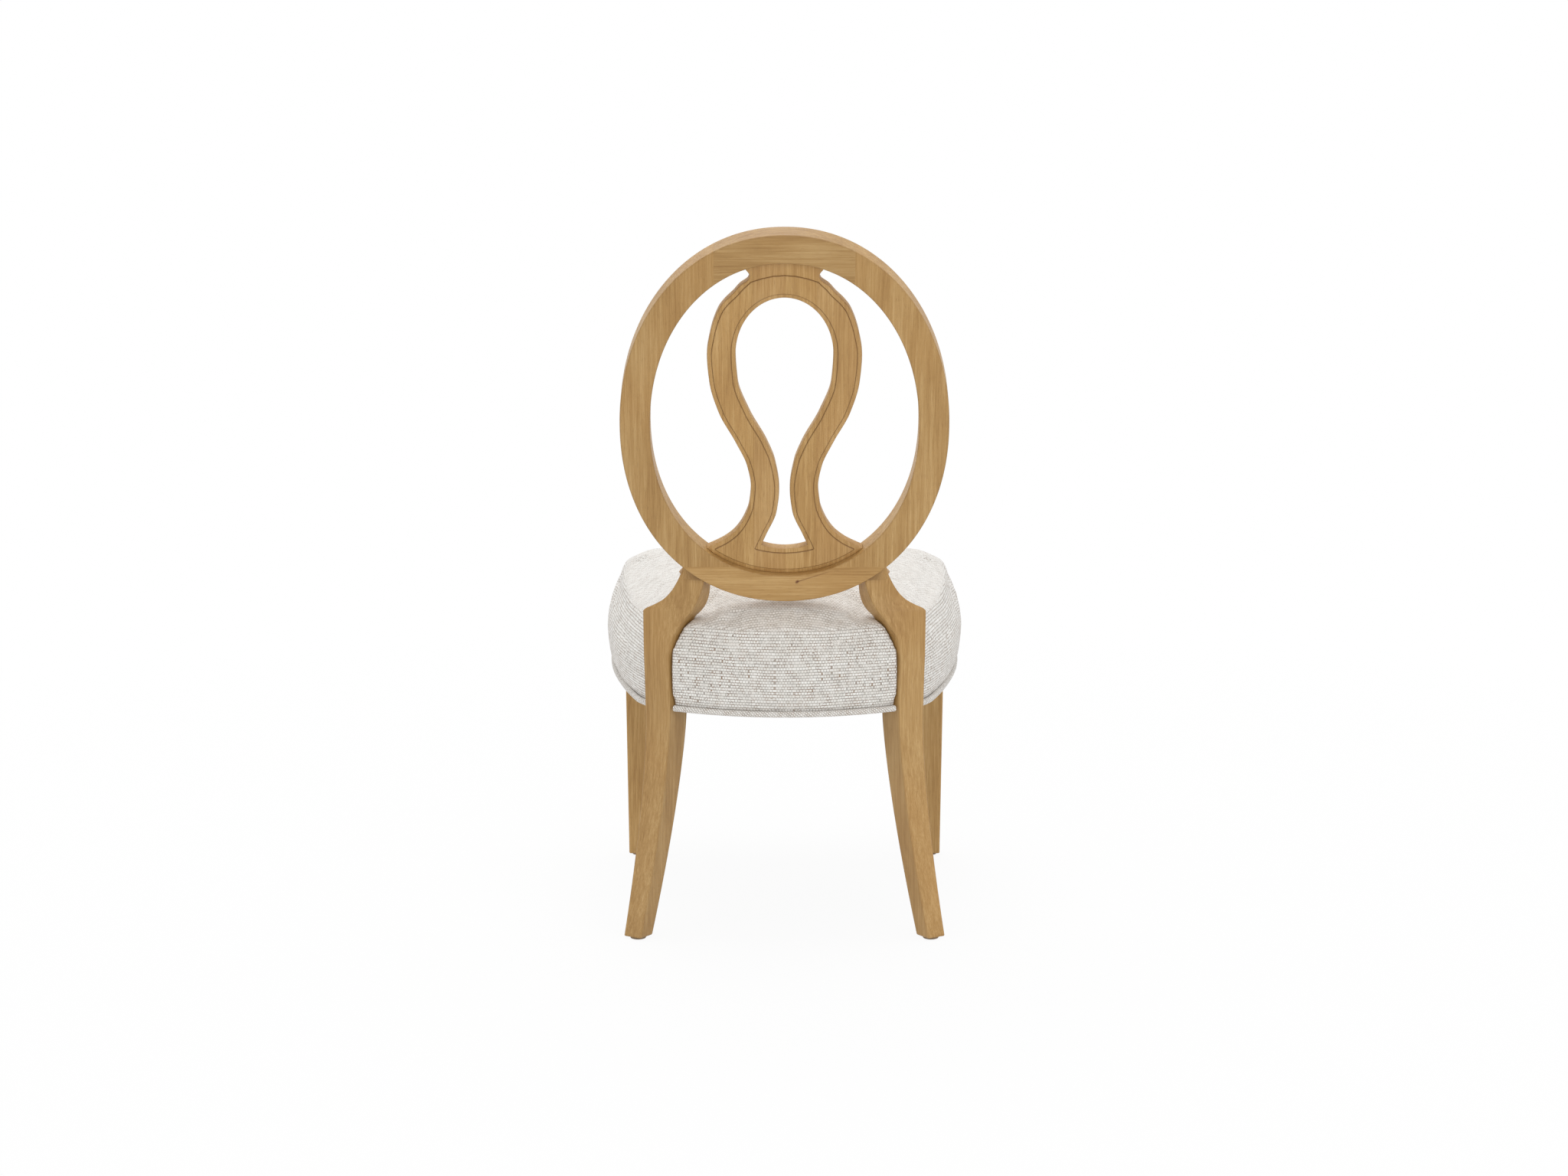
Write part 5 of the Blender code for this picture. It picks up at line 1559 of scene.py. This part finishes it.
class CHAIR_OT_underside(bpy.types.Operator):
    """Staple the dust cover under the seat"""
    bl_idname = "chair.underside"
    bl_label = "Underside"

    def execute(self, context):
        sizes = context.scene.chair_sizes
        steel = speckled_paint("staple_steel", srgb(196, 196, 198), srgb(160, 160, 164), 700.0,
                               0.35, 1.0)
        path = resample(seat_plan(-0.0215, 120, 24), 0.004)
        keep = ~((np.abs(path[:, 0]) > 0.11) & (path[:, 1] > -0.12))
        keep &= ~((np.abs(path[:, 0]) > 0.19) & (path[:, 1] < -0.485))
        runs, run = [], []
        for point, kept in zip(path, keep):
            if kept:
                run.append(point)
            elif run:
                runs.append(run)
                run = []
        if run:
            runs[0] = run + runs[0] if keep[0] else runs[0]
        tree = staple_tree()
        meshes = []
        level = DUST_COVER_BOTTOM - 0.0004
        for run in runs:
            if len(run) < 8:
                continue
            points = place(np.column_stack([run, np.full(len(run), level)]))
            holder = path_object("staple_path", points)
            meshes.append(grown(holder, tree, {"Pitch": sizes.staple_pitch, "Steel": steel},
                                "staples"))
            dropped(holder)
        mesh = joined("staples", meshes)
        make_piece("staples", mesh, steel, slot="steel")
        return {"FINISHED"}


class CHAIR_OT_frame_finishes(bpy.types.Operator):
    """Give the seat frame, its fixings and the lining their finishes"""
    bl_idname = "chair.frame_finishes"
    bl_label = "Frame Finishes"

    def execute(self, context):
        light, dark = srgb(206, 176, 136), srgb(170, 132, 92)
        quarter = math.pi / 2
        crossways = plain_wood_paint("beech_crossways", light, dark, (0.0, 0.0, 0.0))
        lengthways = plain_wood_paint("beech_lengthways", light, dark, (0.0, 0.0, quarter))
        upright = plain_wood_paint("beech_dowel", light, dark, (0.0, quarter, 0.0))
        ply = plain_wood_paint("birch_ply", srgb(214, 188, 150), srgb(184, 152, 112),
                               (0.0, 0.0, 0.0))
        steel = speckled_paint("zinc_steel", srgb(190, 190, 194), srgb(150, 150, 156), 600.0,
                               0.34, 1.0)
        lining = speckled_paint("black_lining", srgb(38, 38, 40), srgb(22, 22, 24), 520.0, 0.92,
                                depth=0.0005)
        foam = speckled_paint("foam", srgb(238, 226, 190), srgb(222, 206, 164), 480.0, 0.95)
        for name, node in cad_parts.items():
            if "rail" in name or "corner_block" in name:
                paint = lengthways if "side_rail" in name else crossways
            elif "dowel" in name:
                paint = upright
            elif "bolt" in name or "screw" in name:
                paint = steel
            elif name == "seat_deck":
                paint = ply
            elif name == "dust_cover":
                paint = lining
            elif name == "seat_foam" or name.startswith("edge_padding"):
                paint = foam
            else:
                continue
            for slot in node.material_slots:
                slot.material = paint
        return {"FINISHED"}


WHITE, FLOOR_GREY = (1.0, 1.0, 1.0, 1.0), (0.86, 0.86, 0.86, 1.0)
WORLD_LIGHT = 0.62
FLOOR_REACH = 30.0
FLOOR_GAP = 0.0002          # below the feet
FLOOR_GLOW = 0.93           # share of the floor that the camera sees as plain white
FLOOR_FADE = (0.7, 2.4)     # distances between which that share rises to one
# Name, place, diameter and power of each lamp, all aimed at the seat
LAMPS = [
    ("key", (-2.4, 3.7, 1.9), 2.4, 31.0),
    ("fill", (2.6, 2.6, 1.8), 2.6, 7.0),
    ("low", (0.6, 4.4, 0.9), 1.8, 17.0),
    ("overhead", (0.0, -0.3, 3.4), 2.6, 40.0),
    ("side left", (3.2, -0.5, 1.1), 2.0, 11.0),
    ("side right", (-3.2, -0.5, 1.1), 2.0, 9.0),
    ("front", (0.6, -3.4, 2.6), 2.6, 22.0),
]
LAMP_AIM = (0.0, 0.0, 0.5)
# The camera as solved from the photograph, with its distance from the rear feet's frame
SENSOR_WIDTH = 36.0
FOCAL_LENGTH = 4437 / 2048 * SENSOR_WIDTH
CAMERA_SHIFT = -0.0003
CAMERA_DISTANCE, CAMERA_HEIGHT = 4.6, 1.25
CAMERA_DIP = math.radians(9.26)


class CHAIR_OT_stage(bpy.types.Operator):
    """Set the floor, the lamps and the camera"""
    bl_idname = "chair.stage"
    bl_label = "Stage"

    def execute(self, context):
        scene = context.scene
        scene.view_settings.view_transform = "Standard"
        self.camera(scene)
        self.floor()
        self.world(scene)
        for lamp in LAMPS:
            self.lamp(*lamp)
        return {"FINISHED"}

    @staticmethod
    def camera(scene):
        """The photograph's camera."""
        data = bpy.data.cameras.new("camera")
        data.sensor_width = SENSOR_WIDTH
        data.lens = FOCAL_LENGTH
        data.shift_x = CAMERA_SHIFT
        made = bpy.data.objects.new("camera", data)
        made.location = (0.0, CAMERA_DISTANCE - MIDDLE_Y, CAMERA_HEIGHT)
        made.rotation_euler = (math.pi / 2 - CAMERA_DIP, 0.0, math.pi)
        scene.collection.objects.link(made)
        scene.camera = made

    @staticmethod
    def floor():
        """A pale floor that keeps the chair's shadow."""
        mesh = bpy.data.meshes.new("floor")
        corners = [(x * FLOOR_REACH, y * FLOOR_REACH, 0.0)
                   for x, y in ((-1, -1), (1, -1), (1, 1), (-1, 1))]
        mesh.from_pydata(corners, [], [(0, 1, 2, 3)])
        made = bpy.data.objects.new("floor", mesh)
        bpy.context.scene.collection.objects.link(made)
        made.location.z = -FLOOR_GAP
        paint = Paint("floor", roughness=0.9, gloss=0.0)
        paint.link("Base Color", FLOOR_GREY)
        rays = paint.node("ShaderNodeLightPath")
        glow = paint.node("ShaderNodeEmission", inputs={"Color": WHITE, "Strength": 1.0})
        # Seen directly the floor is near white and keeps only part of the shade
        seen, mirrored, through = (
            Value(paint, rays.outputs[f"Is {kind} Ray"])
            for kind in ("Camera", "Glossy", "Transmission"))
        x, y, _ = paint.split(paint.node("ShaderNodeTexCoord").outputs["Object"])
        far_share = ((x ** 2 + y ** 2) ** 0.5).above(*FLOOR_FADE) * (1 - FLOOR_GLOW)
        share = (seen + mirrored + through).math("ADD", 0.0, clamp=True) * (far_share + FLOOR_GLOW)
        mixed = paint.node("ShaderNodeMixShader", inputs={
            0: share, 1: paint.shader.outputs[0], 2: glow.outputs[0]})
        output = paint.tree.nodes["Material Output"]
        paint.tree.links.new(mixed.outputs[0], output.inputs["Surface"])
        mesh.materials.append(paint.material)

    @staticmethod
    def world(scene):
        """An even pale light round the chair, which looks white where it is seen."""
        world = bpy.data.worlds.new("studio")
        scene.world = world
        world.use_nodes = True
        world.node_tree.nodes.clear()
        graph = Graph(world.node_tree)
        rays = graph.node("ShaderNodeLightPath").outputs
        seen = rays["Is Camera Ray"]
        for name in ("Is Glossy Ray", "Is Transmission Ray"):
            seen = graph.node("ShaderNodeMath", {"operation": "MAXIMUM"},
                              {0: seen, 1: rays[name]}).outputs[0]
        light, white = (
            graph.node("ShaderNodeBackground", inputs={"Color": WHITE, "Strength": strength})
            for strength in (WORLD_LIGHT, 1.0))
        mixed = graph.node("ShaderNodeMixShader", inputs={
            0: seen, 1: light.outputs[0], 2: white.outputs[0]})
        graph.node("ShaderNodeOutputWorld", inputs={"Surface": mixed.outputs[0]})

    @staticmethod
    def lamp(name, location, size, power):
        """A soft round lamp aimed at the chair."""
        data = bpy.data.lights.new(name, "AREA")
        data.shape = "DISK"
        data.size = size
        data.energy = power
        made = bpy.data.objects.new(name, data)
        made.location = location
        aim = Vector(LAMP_AIM) - made.location
        made.rotation_euler = aim.to_track_quat("-Z", "Y").to_euler()
        bpy.context.scene.collection.objects.link(made)


STEPS = (CHAIR_OT_stage, CHAIR_OT_frame_finishes, CHAIR_OT_ring, CHAIR_OT_splat,
         CHAIR_OT_rear_legs, CHAIR_OT_front_legs, CHAIR_OT_glides, CHAIR_OT_seat,
         CHAIR_OT_welt, CHAIR_OT_underside)


class CHAIR_PT_panel(bpy.types.Panel):
    """Lists the chair's sizes, colours and building steps"""
    bl_idname = "CHAIR_PT_panel"
    bl_label = "Side Chair"
    bl_space_type = "VIEW_3D"
    bl_region_type = "UI"
    bl_category = "Chair"

    def draw(self, context):
        for group in (context.scene.chair_sizes, context.scene.chair_colours):
            box = self.layout.box()
            for name in group.__annotations__:
                box.prop(group, name)
        column = self.layout.column(align=True)
        for step in STEPS:
            column.operator(step.bl_idname)


CLASSES = (ChairSizes, ChairColours, *STEPS, CHAIR_PT_panel)


def register():
    for item in CLASSES:
        bpy.utils.register_class(item)
    bpy.types.Scene.chair_sizes = bpy.props.PointerProperty(type=ChairSizes)
    bpy.types.Scene.chair_colours = bpy.props.PointerProperty(type=ChairColours)


def unregister():
    del bpy.types.Scene.chair_colours
    del bpy.types.Scene.chair_sizes
    for item in reversed(CLASSES):
        bpy.utils.unregister_class(item)


def main():
    """Builds every step."""
    register()
    for step in STEPS:
        group, name = step.bl_idname.split(".")
        getattr(getattr(bpy.ops, group), name)()


if __name__ == "__main__":
    main()
